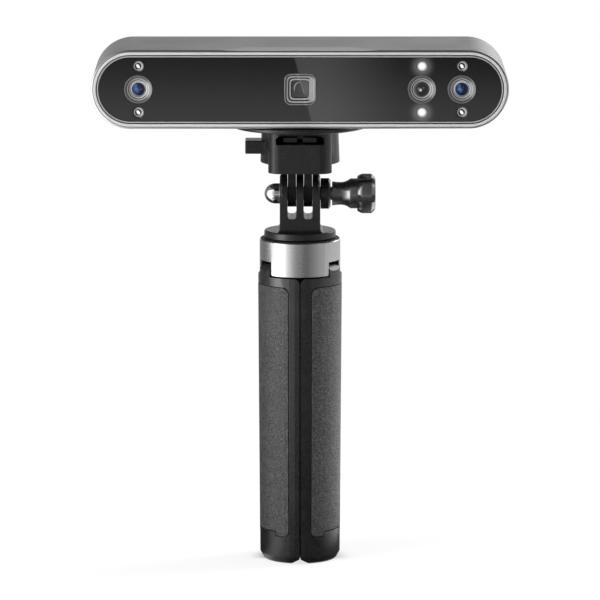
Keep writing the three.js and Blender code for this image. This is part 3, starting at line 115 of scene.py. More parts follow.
class Field:
    """A shader value that Python's operators turn into Math nodes."""

    def __init__(self, graph: "Graph", socket: Any) -> None:
        """Wrap one output socket of a graph."""
        self.graph = graph
        self.socket = socket

    def math(self, operation: str, *others: Any) -> "Field":
        """Add a Math node that starts with this value.

        Args:
            operation: the node's operation.
            others: further values or fields.

        Returns:
            The node's result.
        """
        values = dict(enumerate((self, *others)))
        return self.graph.field("ShaderNodeMath", {"operation": operation}, values)

    def __add__(self, other: Any) -> "Field":
        """Add."""
        return self.math("ADD", other)

    def __radd__(self, other: float) -> "Field":
        """Add to a number."""
        return self.math("ADD", other)

    def __sub__(self, other: Any) -> "Field":
        """Subtract."""
        return self.math("SUBTRACT", other)

    def __rsub__(self, other: float) -> "Field":
        """Subtract from a number."""
        return self.math("MULTIPLY", -1.0) + other

    def __mul__(self, other: Any) -> "Field":
        """Multiply."""
        return self.math("MULTIPLY", other)

    def __rmul__(self, other: float) -> "Field":
        """Multiply a number."""
        return self.math("MULTIPLY", other)

    def __truediv__(self, other: Any) -> "Field":
        """Divide."""
        return self.math("DIVIDE", other)

    def __pow__(self, other: Any) -> "Field":
        """Raise to a power."""
        return self.math("POWER", other)

    def __abs__(self) -> "Field":
        """Drop the sign."""
        return self.math("ABSOLUTE")

    def ease(self, low: float, high: float) -> "Field":
        """Ease from 0 at low to 1 at high.

        Args:
            low: the value that gives 0.
            high: the value that gives 1.

        Returns:
            The eased share.
        """
        ranged = {"interpolation_type": "SMOOTHSTEP"}
        if low < high:
            return self.graph.field("ShaderNodeMapRange", ranged, {0: self, 1: low, 2: high})
        return 1.0 - self.graph.field("ShaderNodeMapRange", ranged, {0: self, 1: high, 2: low})

    def band(self, middle: float, half: float, soft: float) -> "Field":
        """Give 1 near a middle value and 0 further off.

        Args:
            middle: the value in the middle of the band.
            half: half the band's width.
            soft: width of its soft edges.

        Returns:
            The band's share.
        """
        return abs(self - middle).ease(half + soft, half)


def distance(first: Field, second: Field) -> Field:
    """Give the long side over two sides that meet at a right angle."""
    return (first ** 2.0 + second ** 2.0) ** 0.5


class Graph:
    """The node tree of one material or world."""

    def __init__(self, tree: bpy.types.NodeTree) -> None:
        """Empty a node tree and keep it."""
        self.tree = tree
        tree.nodes.clear()

    def node(self, kind: str, settings: dict[str, Any], inputs: dict[Any, Any]) -> bpy.types.Node:
        """Add any node.

        Args:
            kind: the node's type.
            settings: its properties; a ramp's stops go under "stops".
            inputs: values, fields or sockets by input name or number.

        Returns:
            The node.
        """
        made = self.tree.nodes.new(kind)
        for name, value in settings.items():
            if name == "stops":
                ramp = made.color_ramp
                while len(ramp.elements) < len(value):
                    ramp.elements.new(1.0)
                for element, (place, colour) in zip(ramp.elements, value):
                    element.position = place
                    element.color = (*colour, 1.0)
            else:
                setattr(made, name, value)
        for name, value in inputs.items():
            socket = made.inputs[name]
            if isinstance(value, Field):
                value = value.socket
            if isinstance(value, bpy.types.NodeSocket):
                self.tree.links.new(value, socket)
            elif socket.type == "RGBA":
                socket.default_value = (*value, 1.0)
            else:
                socket.default_value = value
        return made

    def field(self, kind: str, settings: dict[str, Any], inputs: dict[Any, Any], output: Any = 0) -> Field:
        """Add a node and wrap one of its outputs.

        Args:
            kind: the node's type.
            settings: its properties.
            inputs: its values and links.
            output: name or number of the output.

        Returns:
            The output as a field.
        """
        return Field(self, self.node(kind, settings, inputs).outputs[output])

    def place(self, centre: Point = (0, 0, 0), stretch: Point = (1, 1, 1)) -> Field:
        """Object coordinates in millimetres from a centre, stretched.

        Args:
            centre: the pattern's centre in millimetres.
            stretch: how much finer the pattern runs along each axis.

        Returns:
            The coordinates as a vector.
        """
        scale = tuple(s / MM for s in stretch)
        shift = tuple(-c * s for c, s in zip(centre, stretch))
        source = self.field("ShaderNodeTexCoord", {}, {}, "Object")
        inputs = {"Vector": source, "Scale": scale, "Location": shift}
        return self.field("ShaderNodeMapping", {}, inputs)

    def parts(self, vector: Field) -> tuple[Field, Field, Field]:
        """Split a vector into its X, Y and Z."""
        split = self.node("ShaderNodeSeparateXYZ", {}, {0: vector})
        return (Field(self, split.outputs[0]), Field(self, split.outputs[1]), Field(self, split.outputs[2]))

    def face_on(self, centre: Point) -> tuple[Field, Field, Field]:
        """Give x, z and the distance from a centre, as a look from the front has them."""
        x, _, z = self.parts(self.place(centre))
        return x, z, distance(x, z)

    def noise(self, vector: Field, scale: float, detail: float = 3.0, rough: float = 0.55) -> Field:
        """Add a noise with about scale bumps in a millimetre."""
        inputs = {"Vector": vector, "Scale": scale, "Detail": detail, "Roughness": rough}
        return self.field("ShaderNodeTexNoise", {}, inputs)

    def blend(self, share: Any, first: Any, second: Any) -> Field:
        """Mix two colours.

        Args:
            share: how much of the second shows.
            first: colour where the share is 0.
            second: colour where the share is 1.

        Returns:
            The mixed colour.
        """
        made = self.node("ShaderNodeMix", {"data_type": "RGBA"}, {0: share, 6: first, 7: second})
        return Field(self, made.outputs[2])

    def bump(self, height: Field, depth: float, strength: float, under: Field | None = None) -> Field:
        """Turn a height into a normal.

        Args:
            height: the height as a share.
            depth: what a share of 1 stands for, in millimetres.
            strength: how strongly it shows.
            under: a normal that it is laid over.

        Returns:
            The normal.
        """
        inputs = {"Height": height, "Distance": depth * MM, "Strength": strength}
        if under is not None:
            inputs["Normal"] = under
        return self.field("ShaderNodeBump", {}, inputs)

    def glow(self, strength: Any) -> None:
        """Close the material with white light of one strength."""
        shader = self.node("ShaderNodeEmission", {}, {"Color": WHITE, "Strength": strength})
        self.node("ShaderNodeOutputMaterial", {}, {"Surface": shader.outputs[0]})

    def surface(self, **inputs: Any) -> None:
        """Close the material with a Principled shader.

        Args:
            inputs: values and fields by input name, with _ for a space.
        """
        named = {name.replace("_", " "): value for name, value in inputs.items()}
        shader = self.node("ShaderNodeBsdfPrincipled", {}, named)
        self.node("ShaderNodeOutputMaterial", {}, {"Surface": shader.outputs[0]})


@dataclass(frozen=True)
class Finish:
    """A finish that a maker would name; each kind paints its own nodes."""

    name: str

    def material(self) -> bpy.types.Material:
        """Make the finish's material once and give it back each time.

        Returns:
            The material.
        """
        known = bpy.data.materials.get(self.name)
        if known is not None:
            return known
        made = bpy.data.materials.new(self.name)
        made.use_nodes = True
        self.paint(Graph(made.node_tree))
        return made

    def paint(self, graph: Graph) -> None:
        """Add the finish's nodes."""
        raise NotImplementedError


@dataclass(frozen=True)
class BlastedMetal(Finish):
    """Anodised metal with the fine grain of bead blasting."""

    colour: Colour
    roughness: float = 0.42
    metallic: float = 0.85
    grain: float = 2.6
    relief: float = 0.012

    def metal(self, graph: Graph) -> dict[str, Any]:
        """Make the fine grain and the soft cloud in the tone.

        Args:
            graph: the material's graph.

        Returns:
            The inputs of the shader.
        """
        place = graph.place()
        fine = graph.noise(place, self.grain, 2.0, 0.6)
        cloud = graph.noise(place, 0.06, 2.0)
        tone = cloud.ease(0.35, 0.65) * 0.7 + fine * 0.3
        return {
            "Base_Color": graph.blend(tone, toned(self.colour, 0.9), toned(self.colour, 1.1)),
            "Roughness": self.roughness + (fine - 0.5) * 0.12 + (cloud - 0.5) * 0.08,
            "Metallic": self.metallic,
            "Normal": graph.bump(fine, self.relief, 0.5),
        }

    def paint(self, graph: Graph) -> None:
        """Add the blasted metal."""
        graph.surface(**self.metal(graph))


@dataclass(frozen=True)
class Scoop:
    """Sizes of the scoop in the head's top front edge, in millimetres."""

    half_lip: float = 30.5
    half_floor: float = 23.0
    half_rear: float = 20.5
    depth: float = 0.35
    length: float = 9.5
    clearance: float = 1.0


SCOOP = Scoop()


@dataclass(frozen=True)
class ShellMetal(BlastedMetal):
    """Blasted metal of the head's shell, with a bright cut edge in front, painted darker towards the top as
    shade, and a scoop floor painted lighter as a highlight.
    """

    front: float = -22.5
    cut_depth: float = 0.55
    top: float = 194.07
    cut_metallic: float = 0.95
    side_slant: float = 1.05

    def paint(self, graph: Graph) -> None:
        """Add the metal, then the cut edge with painted shade that darkens it towards the top, and the
        scoop's floor painted pale as a highlight.

        Args:
            graph: the material's graph.
        """
        inputs = self.metal(graph)
        x, y, z = graph.parts(graph.place())
        height = z - self.top
        cut_y = self.front + self.cut_depth
        edge = y.ease(cut_y + 0.05, cut_y - 0.05)
        # Painted shade: the bright cut edge is painted darker towards the top.
        cut = graph.blend(height.ease(-4.0, -16.0), srgb(146), srgb(232))
        # Painted highlight: the scoop's floor is painted paler than the shell.
        between = (SCOOP.half_lip - abs(x) - (y - self.front) * self.side_slant).ease(-0.5, 2.5)
        floor = between * height.ease(-1.0, -0.6) * y.ease(-11.5, -14.5) * y.ease(-22.0, -21.8)
        inputs["Base_Color"] = graph.blend(floor, graph.blend(edge, inputs["Base_Color"], cut), srgb(150))
        inputs["Roughness"] = inputs["Roughness"] * (1.0 - edge * 0.3)
        inputs["Metallic"] = edge * (self.cut_metallic - self.metallic) + self.metallic
        graph.surface(**inputs)


@dataclass(frozen=True)
class PolishedMetal(Finish):
    """Bright polished metal with faint wiping marks."""

    colour: Colour
    roughness: float = 0.16
    metallic: float = 1.0
    groove_face: float | None = None

    def paint(self, graph: Graph) -> None:
        """Add faint smears in the gloss and, behind groove_face, painted shade that darkens the groove.

        Args:
            graph: the material's graph.
        """
        smears = graph.noise(graph.place(stretch=(0.25, 1, 1)), 0.3, 3.0, 0.5)
        colour = graph.blend(smears, self.colour, toned(self.colour, 1.05))
        metallic: Any = self.metallic
        if self.groove_face is not None:
            _, y, _ = graph.parts(graph.place())
            # Painted shade: the groove behind groove_face is painted dark and not metallic.
            painted_groove_shade = y.ease(self.groove_face - 0.04, self.groove_face + 0.04)
            colour = graph.blend(painted_groove_shade, colour, srgb(38))
            metallic = (1.0 - painted_groove_shade) * self.metallic
        graph.surface(Base_Color=colour, Roughness=self.roughness + (smears - 0.5) * 0.04, Metallic=metallic)


@dataclass(frozen=True)
class TurnedMetal(Finish):
    """Metal with the fine rings that a lathe leaves round an upright or lying axis."""

    colour: Colour
    roughness: float = 0.28
    along: Point = (0.02, 0.02, 1.0)
    pitch: float = 3.0
    metallic: float = 1.0
    mark: float = 1.0

    def paint(self, graph: Graph) -> None:
        """Add rings that run round the axis.

        Args:
            graph: the material's graph.
        """
        rings = graph.noise(graph.place(stretch=self.along), self.pitch, 3.0, 0.7)
        fine = graph.noise(graph.place(), 1.2, 2.0)
        dark = toned(self.colour, 1 - 0.14 * self.mark)
        graph.surface(
            Base_Color=graph.blend(rings * 0.7 + fine * 0.3, dark, self.colour),
            Roughness=self.roughness + (rings - 0.5) * self.mark * 0.16,
            Metallic=self.metallic,
            Normal=graph.bump(rings, 0.012 * self.mark, 0.5),
        )


@dataclass(frozen=True)
class MouldedPlastic(Finish):
    """Black moulded plastic with a fine spark-eroded texture and dulled patches."""

    colour: Colour
    roughness: float = 0.42
    texture: float = 3.2
    depth: float = 0.008
    gloss: float = 0.5

    def paint(self, graph: Graph) -> None:
        """Add texture, handling marks and a lighter tone where it is rubbed.

        Args:
            graph: the material's graph.
        """
        place = graph.place()
        fine = graph.noise(place, self.texture, 3.0, 0.6)
        marks = graph.noise(place, 0.16, 4.0, 0.6)
        rubbed = toned(self.colour, 1.5, 0.004)
        graph.surface(
            Base_Color=graph.blend(marks.ease(0.45, 0.75) * 0.6 + fine * 0.2, self.colour, rubbed),
            Roughness=self.roughness + (marks - 0.5) * 0.12 + (fine - 0.5) * 0.08,
            Specular_IOR_Level=self.gloss,
            Normal=graph.bump(fine, self.depth, 0.6),
        )


@dataclass(frozen=True)
class GrainedSkin(Finish):
    """Soft skin of the grip panels with a leather-like grain."""

    valley: Colour
    crest: Colour
    cell: float = 1.7

    def paint(self, graph: Graph) -> None:
        """Add fine irregular pebbles, the folds between them painted darker as shade, and sparse pale
        flecks.

        Args:
            graph: the material's graph.
        """
        place = graph.place()
        warp = graph.noise(place, 0.5, 2.0)
        shift = graph.field("ShaderNodeTexNoise", {}, {"Vector": place, "Scale": 1.1}, 1)
        bent = graph.field(
            "ShaderNodeVectorMath", {"operation": "MULTIPLY_ADD"}, {0: shift, 1: (0.9,) * 3, 2: place}
        )
        pebbles = graph.field(
            "ShaderNodeTexVoronoi", {"feature": "SMOOTH_F1"},
            {"Vector": bent, "Scale": self.cell, "Smoothness": 0.35},
        )
        height = pebbles.ease(0.75, 0.05) * (0.4 + warp * 1.2)
        flecks = graph.noise(place, 3.0, 2.0, 0.7).ease(0.57, 0.66)
        # Painted shade: the folds between pebbles are painted dark and the crests light; warp adds random
        # tone and the flecks are pale.
        shade = height * 0.45 + warp * 0.15 + flecks * 0.5
        graph.surface(
            Base_Color=graph.blend(shade, self.valley, self.crest),
            Roughness=0.56 - height * 0.14,
            Normal=graph.bump(height, 0.09, 0.7, graph.bump(flecks, 0.03, 0.4)),
        )


@dataclass(frozen=True)
class SoftRubber(Finish):
    """Matt rubber with a dusty bloom."""

    colour: Colour

    def paint(self, graph: Graph) -> None:
        """Add bloom and fine pores.

        Args:
            graph: the material's graph.
        """
        place = graph.place()
        pores = graph.noise(place, 2.4, 3.0)
        bloom = graph.noise(place, 0.25, 3.0).ease(0.4, 0.7)
        dusty = toned(self.colour, 1.8, 0.006)
        graph.surface(
            Base_Color=graph.blend(bloom * 0.6, self.colour, dusty),
            Roughness=0.75 + (pores - 0.5) * 0.2,
            Normal=graph.bump(pores, 0.02, 0.5),
        )


@dataclass(frozen=True)
class WindowGlass(Finish):
    """Black glass over the cameras, faintly lit round the fill lights."""

    centre: Point
    lights: tuple[tuple[float, float], ...]

    def paint(self, graph: Graph) -> None:
        """Add the glow round each lit bulb and faint wiping marks in the gloss.

        Args:
            graph: the material's graph.
        """
        x, z, _ = graph.face_on(self.centre)
        smears = graph.noise(graph.place(stretch=(0.3, 1, 1)), 0.35, 4.0, 0.6)
        glow: Any = None
        for light_x, light_z in self.lights:
            halo = distance(x - light_x, z - light_z).ease(7.0, 1.0) ** 3.0
            glow = halo if glow is None else glow.math("MAXIMUM", halo)
        graph.surface(
            Base_Color=graph.blend(smears * 0.5, srgb(14), srgb(22)),
            Roughness=0.006 + smears * 0.014,
            IOR=1.5,
            Specular_IOR_Level=0.5,
            Emission_Color=graph.blend(glow, UNLIT, (0.15, 0.15, 0.155)),
            Emission_Strength=1.0,
        )


@dataclass(frozen=True)
class SteppedRing(Finish):
    """Dark anodised ring round a lens, with painted highlights on its edges, painted shade on its walls and
    a painted lit side.
    """

    centre: Point
    colour: Colour = srgb(92)
    rim: float = 5.04
    rim_share: float = 0.3
    steps: tuple[float, float] = (3.92, 3.15)
    walls: tuple[float, float] = (4.2, 3.58)

    def shape(self, graph: Graph) -> tuple[Field, Field, Field]:
        """Give the distance that draws the steps, the painted lit side and the painted highlight on each
        step's edge.

        Args:
            graph: the material's graph.

        Returns:
            The distance from the centre, the painted lit side's share and the painted highlights' share.
        """
        x, _, far = graph.face_on(self.centre)
        # Painted light: the right side of the ring is painted lighter.
        side = (x / far).ease(0.6, 0.95) * far.ease(3.0, 3.3) * 0.75
        return far, side, self.painted_highlight_lines(far)

    def painted_highlight_lines(self, far: Field) -> Field:
        """Give the painted highlight line on each step's edge."""
        # Painted highlights on the rim and on each step's edge.
        inner = far.band(self.steps[0], 0.14, 0.12) + far.band(self.steps[1], 0.14, 0.12)
        return far.band(self.rim, 0.06, 0.08) * self.rim_share + inner * 0.85

    def paint(self, graph: Graph) -> None:
        """Add a painted highlight line on each step's edge, painted shade on the walls between and a painted
        lit side.

        Args:
            graph: the material's graph.
        """
        far, side, painted_highlight_lines = self.shape(graph)
        # Painted shade darkens the step walls; the highlight and the lit side are painted light.
        painted_wall_shade = far.band(self.walls[0], 0.06, 0.1) + far.band(self.walls[1], 0.1, 0.12)
        bright = graph.blend(painted_highlight_lines, graph.blend(side, self.colour, srgb(165)), srgb(206))
        graph.surface(
            Base_Color=graph.blend(painted_wall_shade * (1.0 - side) * 0.8, bright, srgb(30)),
            Roughness=0.36,
            Metallic=0.35,
            Normal=graph.bump(painted_highlight_lines, 0.02, 0.4),
        )


@dataclass(frozen=True)
class SteppedFrame(SteppedRing):
    """The same finish on the projector's square frame."""

    colour: Colour = srgb(84)
    rim_share: float = 0.5
    steps: tuple[float, float] = (4.2, 3.28)
    walls: tuple[float, float] = (4.62, 3.72)
    squareness: float = 6.0

    def shape(self, graph: Graph) -> tuple[Field, Field, Field]:
        """Give the distance that draws the square steps, the painted lit side and the painted highlights,
        with painted glints where a slanted light crosses them.

        Args:
            graph: the material's graph.

        Returns:
            The distance from the centre, the painted lit side's share and the painted highlights' share.
        """
        x, z, _ = graph.face_on(self.centre)
        far = ((x ** self.squareness + z ** self.squareness) ** (1.0 / self.squareness)) * 0.9
        # Painted light: the frame's right side is painted lighter.
        side = x.ease(3.15, 3.4) * abs(z).ease(5.4, 3.6)
        painted_highlight_lines = self.painted_highlight_lines(far)
        # Painted glints where a slanted band of reflected light crosses the highlights.
        lit = (x + z * LEAN - 0.6).band(0.0, 0.15, 0.3)
        return far, side, painted_highlight_lines * (1.0 - side) + lit * painted_highlight_lines * 2.0


@dataclass(frozen=True)
class CoatedLens(Finish):
    """Coated camera lens: dark pupil, tinted rings and a violet rim painted as a glowing highlight."""

    centre: Point
    pupil: Colour
    iris: Colour
    rim: Colour
    glints: tuple[tuple[Point, Colour], ...]
    radius: float = 2.8
    rim_glow: float = 0.45

    def paint(self, graph: Graph) -> None:
        """Add the coating's rings, the painted glints of the glass behind and the painted bright rim
        highlight.

        Args:
            graph: the material's graph.
        """
        x, z, far = graph.face_on(self.centre)
        far = far / self.radius
        # Painted light: the rim highlight is brighter towards the upper left.
        slant = ((x - z) / self.radius).ease(1.3, -1.2)
        body = graph.blend(far.ease(0.2, 0.75), self.pupil, self.iris)
        ringed = graph.blend(far.band(0.55, 0.04, 0.06) * 0.5, body, self.pupil)
        painted_rim_highlight = far.ease(0.84, 0.94) * (0.35 + slant * 0.65)
        edge = graph.blend(painted_rim_highlight, ringed, self.rim)
        # The painted rim highlight and the painted glints glow.
        glow = graph.blend(painted_rim_highlight, UNLIT, toned(self.rim, self.rim_glow))
        for (glint_x, glint_z, reach), colour in self.glints:
            spot = distance(x - glint_x, z - glint_z)
            glow = graph.blend(spot.ease(reach, reach * 0.2), glow, colour)
        graph.surface(
            Base_Color=edge,
            Roughness=0.06,
            Coat_Weight=1.0,
            Coat_Roughness=0.02,
            Emission_Color=glow,
            Emission_Strength=1.0,
        )


@dataclass(frozen=True)
class Bulb(Finish):
    """A bulb with its rim painted bright and one side painted lighter: dark and clear for infrared, with a
    painted white glint, or lit white.
    """

    centre: Point
    light: Light

    def paint(self, graph: Graph) -> None:
        """Add the rim with its painted highlight ring and painted lit side, the well inside it and the
        bulb's middle, with a painted white glint for infrared.

        Args:
            graph: the material's graph.
        """
        x, z, far = graph.face_on(self.centre)
        lit = self.light is Light.WHITE
        pale, rim, middle = (srgb(90), srgb(90), srgb(90)) if lit else (srgb(150), srgb(240), srgb(16))
        # Painted light: the rim's cone is painted lighter towards the right and the top.
        side = ((x * 0.9 + z * 0.35) / far).ease(-0.5, 0.9)
        painted_lit_cone = graph.blend(side, srgb(26), pale)
        # Painted highlight: a bright ring on the rim.
        bright = graph.blend(far.band(1.42, 0.12, 0.1), painted_lit_cone, rim)
        well = graph.blend(far.ease(1.24, 1.14), bright, middle)
        # For infrared, a painted white glint with an uneven edge; a white bulb glows as the lit light it is.
        painted_glint_outline = far + (x * 2.3).math("SINE") * (z * 2.9 + x).math("SINE") * 0.22
        glow = far.ease(2.2, 0.5) if lit else painted_glint_outline.ease(0.82, 0.5)
        graph.surface(
            Base_Color=well,
            Roughness=0.22,
            Metallic=far.ease(1.14, 1.24) * 0.15,
            Coat_Weight=0.5,
            Emission_Color=graph.blend(glow, UNLIT, WHITE),
            Emission_Strength=1.1,
        )


@dataclass(frozen=True)
class ProjectorPane(Finish):
    """Dark pane of the projector with its round lens behind."""

    centre: Point

    def paint(self, graph: Graph) -> None:
        """Add the lens, its painted bright crescent of reflected light and a painted slanted fold of light.

        Args:
            graph: the material's graph.
        """
        x, z, _ = graph.face_on(self.centre)
        # Painted reflection: a bright crescent of the lens behind, on the left.
        crescent = distance(x - 0.4, z - 0.2).band(2.5, 0.07, 0.16) * (x * 0.85 - z * 0.5).ease(-0.8, -2.3)
        # Painted reflection: a slanted fold of light, with a brighter line along it.
        fold = x + z * 0.353 - 1.02
        low = z.ease(-1.4, -2.6)
        tone = graph.blend(fold.ease(-0.1, 0.1) * 0.6, srgb(20), srgb(58))
        lined = graph.blend(fold.band(0.0, 0.06, 0.16) * z.ease(-2.2, -1.2) * 0.5, tone, srgb(140))
        graph.surface(
            Base_Color=graph.blend(crescent * 0.85, graph.blend(low * 0.7, lined, srgb(14)), srgb(168)),
            Roughness=0.08,
            Coat_Weight=0.6,
            Coat_Roughness=0.03,
        )


@dataclass(frozen=True)
class BoardLacquer(Finish):
    """Green solder mask with tracks and small pale pads."""

    def paint(self, graph: Graph) -> None:
        """Add tracks and pads.

        Args:
            graph: the material's graph.
        """
        place = graph.place()
        x, _, z = graph.parts(place)
        tracks = (z * 2.1 + graph.noise(place, 0.12) * 6.0).math("SINE").ease(0.7, 0.95)
        pads = ((x * 2.4).math("SINE") * (z * 2.4).math("SINE")).ease(0.8, 0.9)
        green = graph.blend(tracks * 0.6, (0.012, 0.09, 0.04), (0.03, 0.19, 0.08))
        graph.surface(
            Base_Color=graph.blend(pads, green, (0.62, 0.6, 0.5)),
            Roughness=0.38,
            Metallic=pads * 0.8,
            Normal=graph.bump(tracks, 0.03, 0.5),
        )


SHELL_METAL = ShellMetal("blasted_grey_shell", srgb(127), roughness=0.46, metallic=0.4)
CHASSIS_METAL = BlastedMetal("machined_chassis", srgb(176), roughness=0.36, grain=1.2)
BLOCK_METAL = BlastedMetal("black_camera_block", srgb(40), roughness=0.4)
BEZEL_METAL = PolishedMetal("polished_bezel", srgb(216), roughness=0.34, metallic=0.3, groove_face=-22.28)
TRIM_METAL = PolishedMetal("bright_trim", srgb(186), roughness=0.3, metallic=0.35)
CHROME = PolishedMetal("chromed_nut", srgb(240), roughness=0.05)
STEEL = TurnedMetal("plain_steel", srgb(196), roughness=0.3, along=(1.0, 0.2, 0.2))
COLLAR_METAL = TurnedMetal("satin_collar", srgb(210), roughness=0.27, mark=0.25)
BRASS = TurnedMetal("turned_brass", srgb(212, 176, 104), roughness=0.25)
KNOB_METAL = TurnedMetal(
    "black_anodised_knob", srgb(136), roughness=0.25, along=(1.0, 0.02, 0.02), metallic=0.95, mark=0.4
)
BLACK_PLASTIC = MouldedPlastic("satin_black_plastic", srgb(24), roughness=0.26)
LEG_PLASTIC = MouldedPlastic("satin_leg_plastic", srgb(22), roughness=0.28, gloss=0.85)
COVER_PLASTIC = MouldedPlastic("matt_cover_plastic", srgb(32), roughness=0.5)
PANEL_SKIN = GrainedSkin("grained_grip_skin", srgb(20), srgb(106), cell=2.1)
RUBBER = SoftRubber("matt_rubber", srgb(28))
LACQUER = BoardLacquer("green_board")


class Form:
    """A mesh in the making, in millimetres, that bmesh operators shape."""

    def __init__(self) -> None:
        """Start empty."""
        self.mesh = bmesh.new()

    def mend(self, reach: float = MEND_REACH) -> "Form":
        """Merge doubles and point every face outwards.

        Args:
            reach: how far apart doubles may lie.

        Returns:
            The form itself.
        """
        bmesh.ops.remove_doubles(self.mesh, verts=self.mesh.verts[:], dist=reach)
        bmesh.ops.recalc_face_normals(self.mesh, faces=self.mesh.faces[:])
        return self

    @classmethod
    def node(cls, name: str) -> "Form":
        """Copy a CAD node, with its flat faces whole again.

        Args:
            name: the node.

        Returns:
            The copy.
        """
        form = cls()
        form.mesh.from_mesh(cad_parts[name].data)
        form.mesh.transform(Matrix.Scale(1 / MM, 4))
        form.mend(NODE_REACH)
        flat = math.radians(FLAT_DEGREES)
        bmesh.ops.dissolve_limit(
            form.mesh, angle_limit=flat, verts=form.mesh.verts[:], edges=form.mesh.edges[:]
        )
        return form

    @classmethod
    def turned(cls, profile: Profile, axis: Axis, at: Point = (0, 0, 0), sides: int = 64) -> "Form":
        """Spin a profile round an axis.

        Args:
            profile: (radius, height) points that start and end on the axis, or close on themselves.
            axis: where the heights point.
            at: the profile's origin.
            sides: steps of the full turn.

        Returns:
            The turned form.
        """
        form = cls()
        verts = [form.mesh.verts.new((radius, 0.0, height)) for radius, height in profile]
        edges = [form.mesh.edges.new(pair) for pair in zip(verts, verts[1:])]
        bmesh.ops.spin(
            form.mesh, geom=verts + edges, cent=(0, 0, 0), axis=(0, 0, 1),
            angle=FULL_TURN, steps=sides, use_merge=True,
        )
        form.mesh.transform(Matrix.Translation(at) @ axis.value)
        return form.mend()

    @classmethod
    def cylinder(
        cls, radius: float, span: tuple[float, float], axis: Axis, at: Point, sides: int = 64
    ) -> "Form":
        """Make a cylinder.

        Args:
            radius: its radius.
            span: the heights of its two ends.
            axis: where the heights point.
            at: the point that they start from.
            sides: how many sides it has.

        Returns:
            The cylinder.
        """
        low, high = span
        return cls.turned([(0, low), (radius, low), (radius, high), (0, high)], axis, at, sides)

    @classmethod
    def capsule(cls, size: "HeadSize", stations: Profile, closed: bool) -> "Form":
        """Draw the head's capsule outline from front to back.

        Args:
            size: the head's sizes.
            stations: (inset, y) of each outline.
            closed: whether the last outline joins the first, as in a tube with a wall.

        Returns:
            The drawn form.
        """
        form = cls()
        mesh = form.mesh
        bmesh.ops.create_circle(mesh, segments=size.segments, radius=size.radius - stations[0][0])
        turn = Axis.FRONT.value @ Matrix.Rotation(math.pi / size.segments, 4, "Z")
        bmesh.ops.transform(mesh, matrix=turn, verts=mesh.verts[:])
        for vert in mesh.verts:
            vert.co += Vector((math.copysign(size.straight, vert.co.x), stations[0][1], size.middle_z))
        first = mesh.edges[:]
        ring = first
        for inset, y in stations[1:]:
            grown = bmesh.ops.extrude_edge_only(mesh, edges=ring)["geom"]
            ring = [part for part in grown if isinstance(part, bmesh.types.BMEdge) and part.is_boundary]
            for vert in (part for part in grown if isinstance(part, bmesh.types.BMVert)):
                middle = Vector((math.copysign(size.straight, vert.co.x), vert.co.y, size.middle_z))
                reach = (vert.co - middle).normalized() * (size.radius - inset)
                vert.co = middle + reach
                vert.co.y = y
        if closed:
            bmesh.ops.bridge_loops(mesh, edges=first + ring)
        else:
            bmesh.ops.contextual_create(mesh, geom=first)
            bmesh.ops.contextual_create(mesh, geom=ring)
        return form.mend()

    @classmethod
    def drawn(cls, outline: Profile, depth: float, axis: Axis, at: Point) -> "Form":
        """Extrude an outline.

        Args:
            outline: its points, in order.
            depth: how far it is drawn.
            axis: where the depth points.
            at: the outline's origin.

        Returns:
            The extruded form.
        """
        form = cls()
        face = form.mesh.faces.new([form.mesh.verts.new((u, v, 0.0)) for u, v in outline])
        grown = bmesh.ops.extrude_face_region(form.mesh, geom=[face])["geom"]
        moved = [part for part in grown if isinstance(part, bmesh.types.BMVert)]
        bmesh.ops.translate(form.mesh, vec=(0, 0, depth), verts=moved)
        form.mesh.transform(Matrix.Translation(at) @ axis.value)
        return form.mend()

    @classmethod
    def hull(cls, points: Iterable[Point]) -> "Form":
        """Wrap a convex form round points.

        Args:
            points: the corners, and any points between them.

        Returns:
            The wrapped form.
        """
        form = cls()
        verts = [form.mesh.verts.new(point) for point in points]
        made = bmesh.ops.convex_hull(form.mesh, input=verts)
        loose = [part for part in made["geom_interior"] if isinstance(part, bmesh.types.BMVert)]
        bmesh.ops.delete(form.mesh, geom=loose, context="VERTS")
        return form.mend()

    def settled(self, name: str) -> bpy.types.Object:
        """Turn the form into a linked object in metres and free the bmesh.

        Args:
            name: the object's name.

        Returns:
            The object.
        """
        self.mesh.transform(Matrix.Scale(MM, 4))
        data = bpy.data.meshes.new(name)
        self.mesh.to_mesh(data)
        self.mesh.free()
        made = bpy.data.objects.new(name, data)
        bpy.context.scene.collection.objects.link(made)
        return made

    def cut(self, *tools: "Form") -> "Form":
        """Cut other forms out.

        Args:
            tools: the other forms, which are used up.

        Returns:
            The new form.
        """
        target = self.settled("blank")
        helpers = [tool.settled("tool") for tool in tools]
        for helper in helpers:
            modifier = target.modifiers.new("carve", "BOOLEAN")
            modifier.operation = "DIFFERENCE"
            modifier.solver = "EXACT"
            modifier.object = helper
        bpy.context.view_layer.update()
        carved = target.evaluated_get(bpy.context.evaluated_depsgraph_get()).to_mesh()
        form = Form()
        form.mesh.from_mesh(carved)
        form.mesh.transform(Matrix.Scale(1 / MM, 4))
        for used in (target, *helpers):
            bpy.data.objects.remove(used)
        return form.mend()

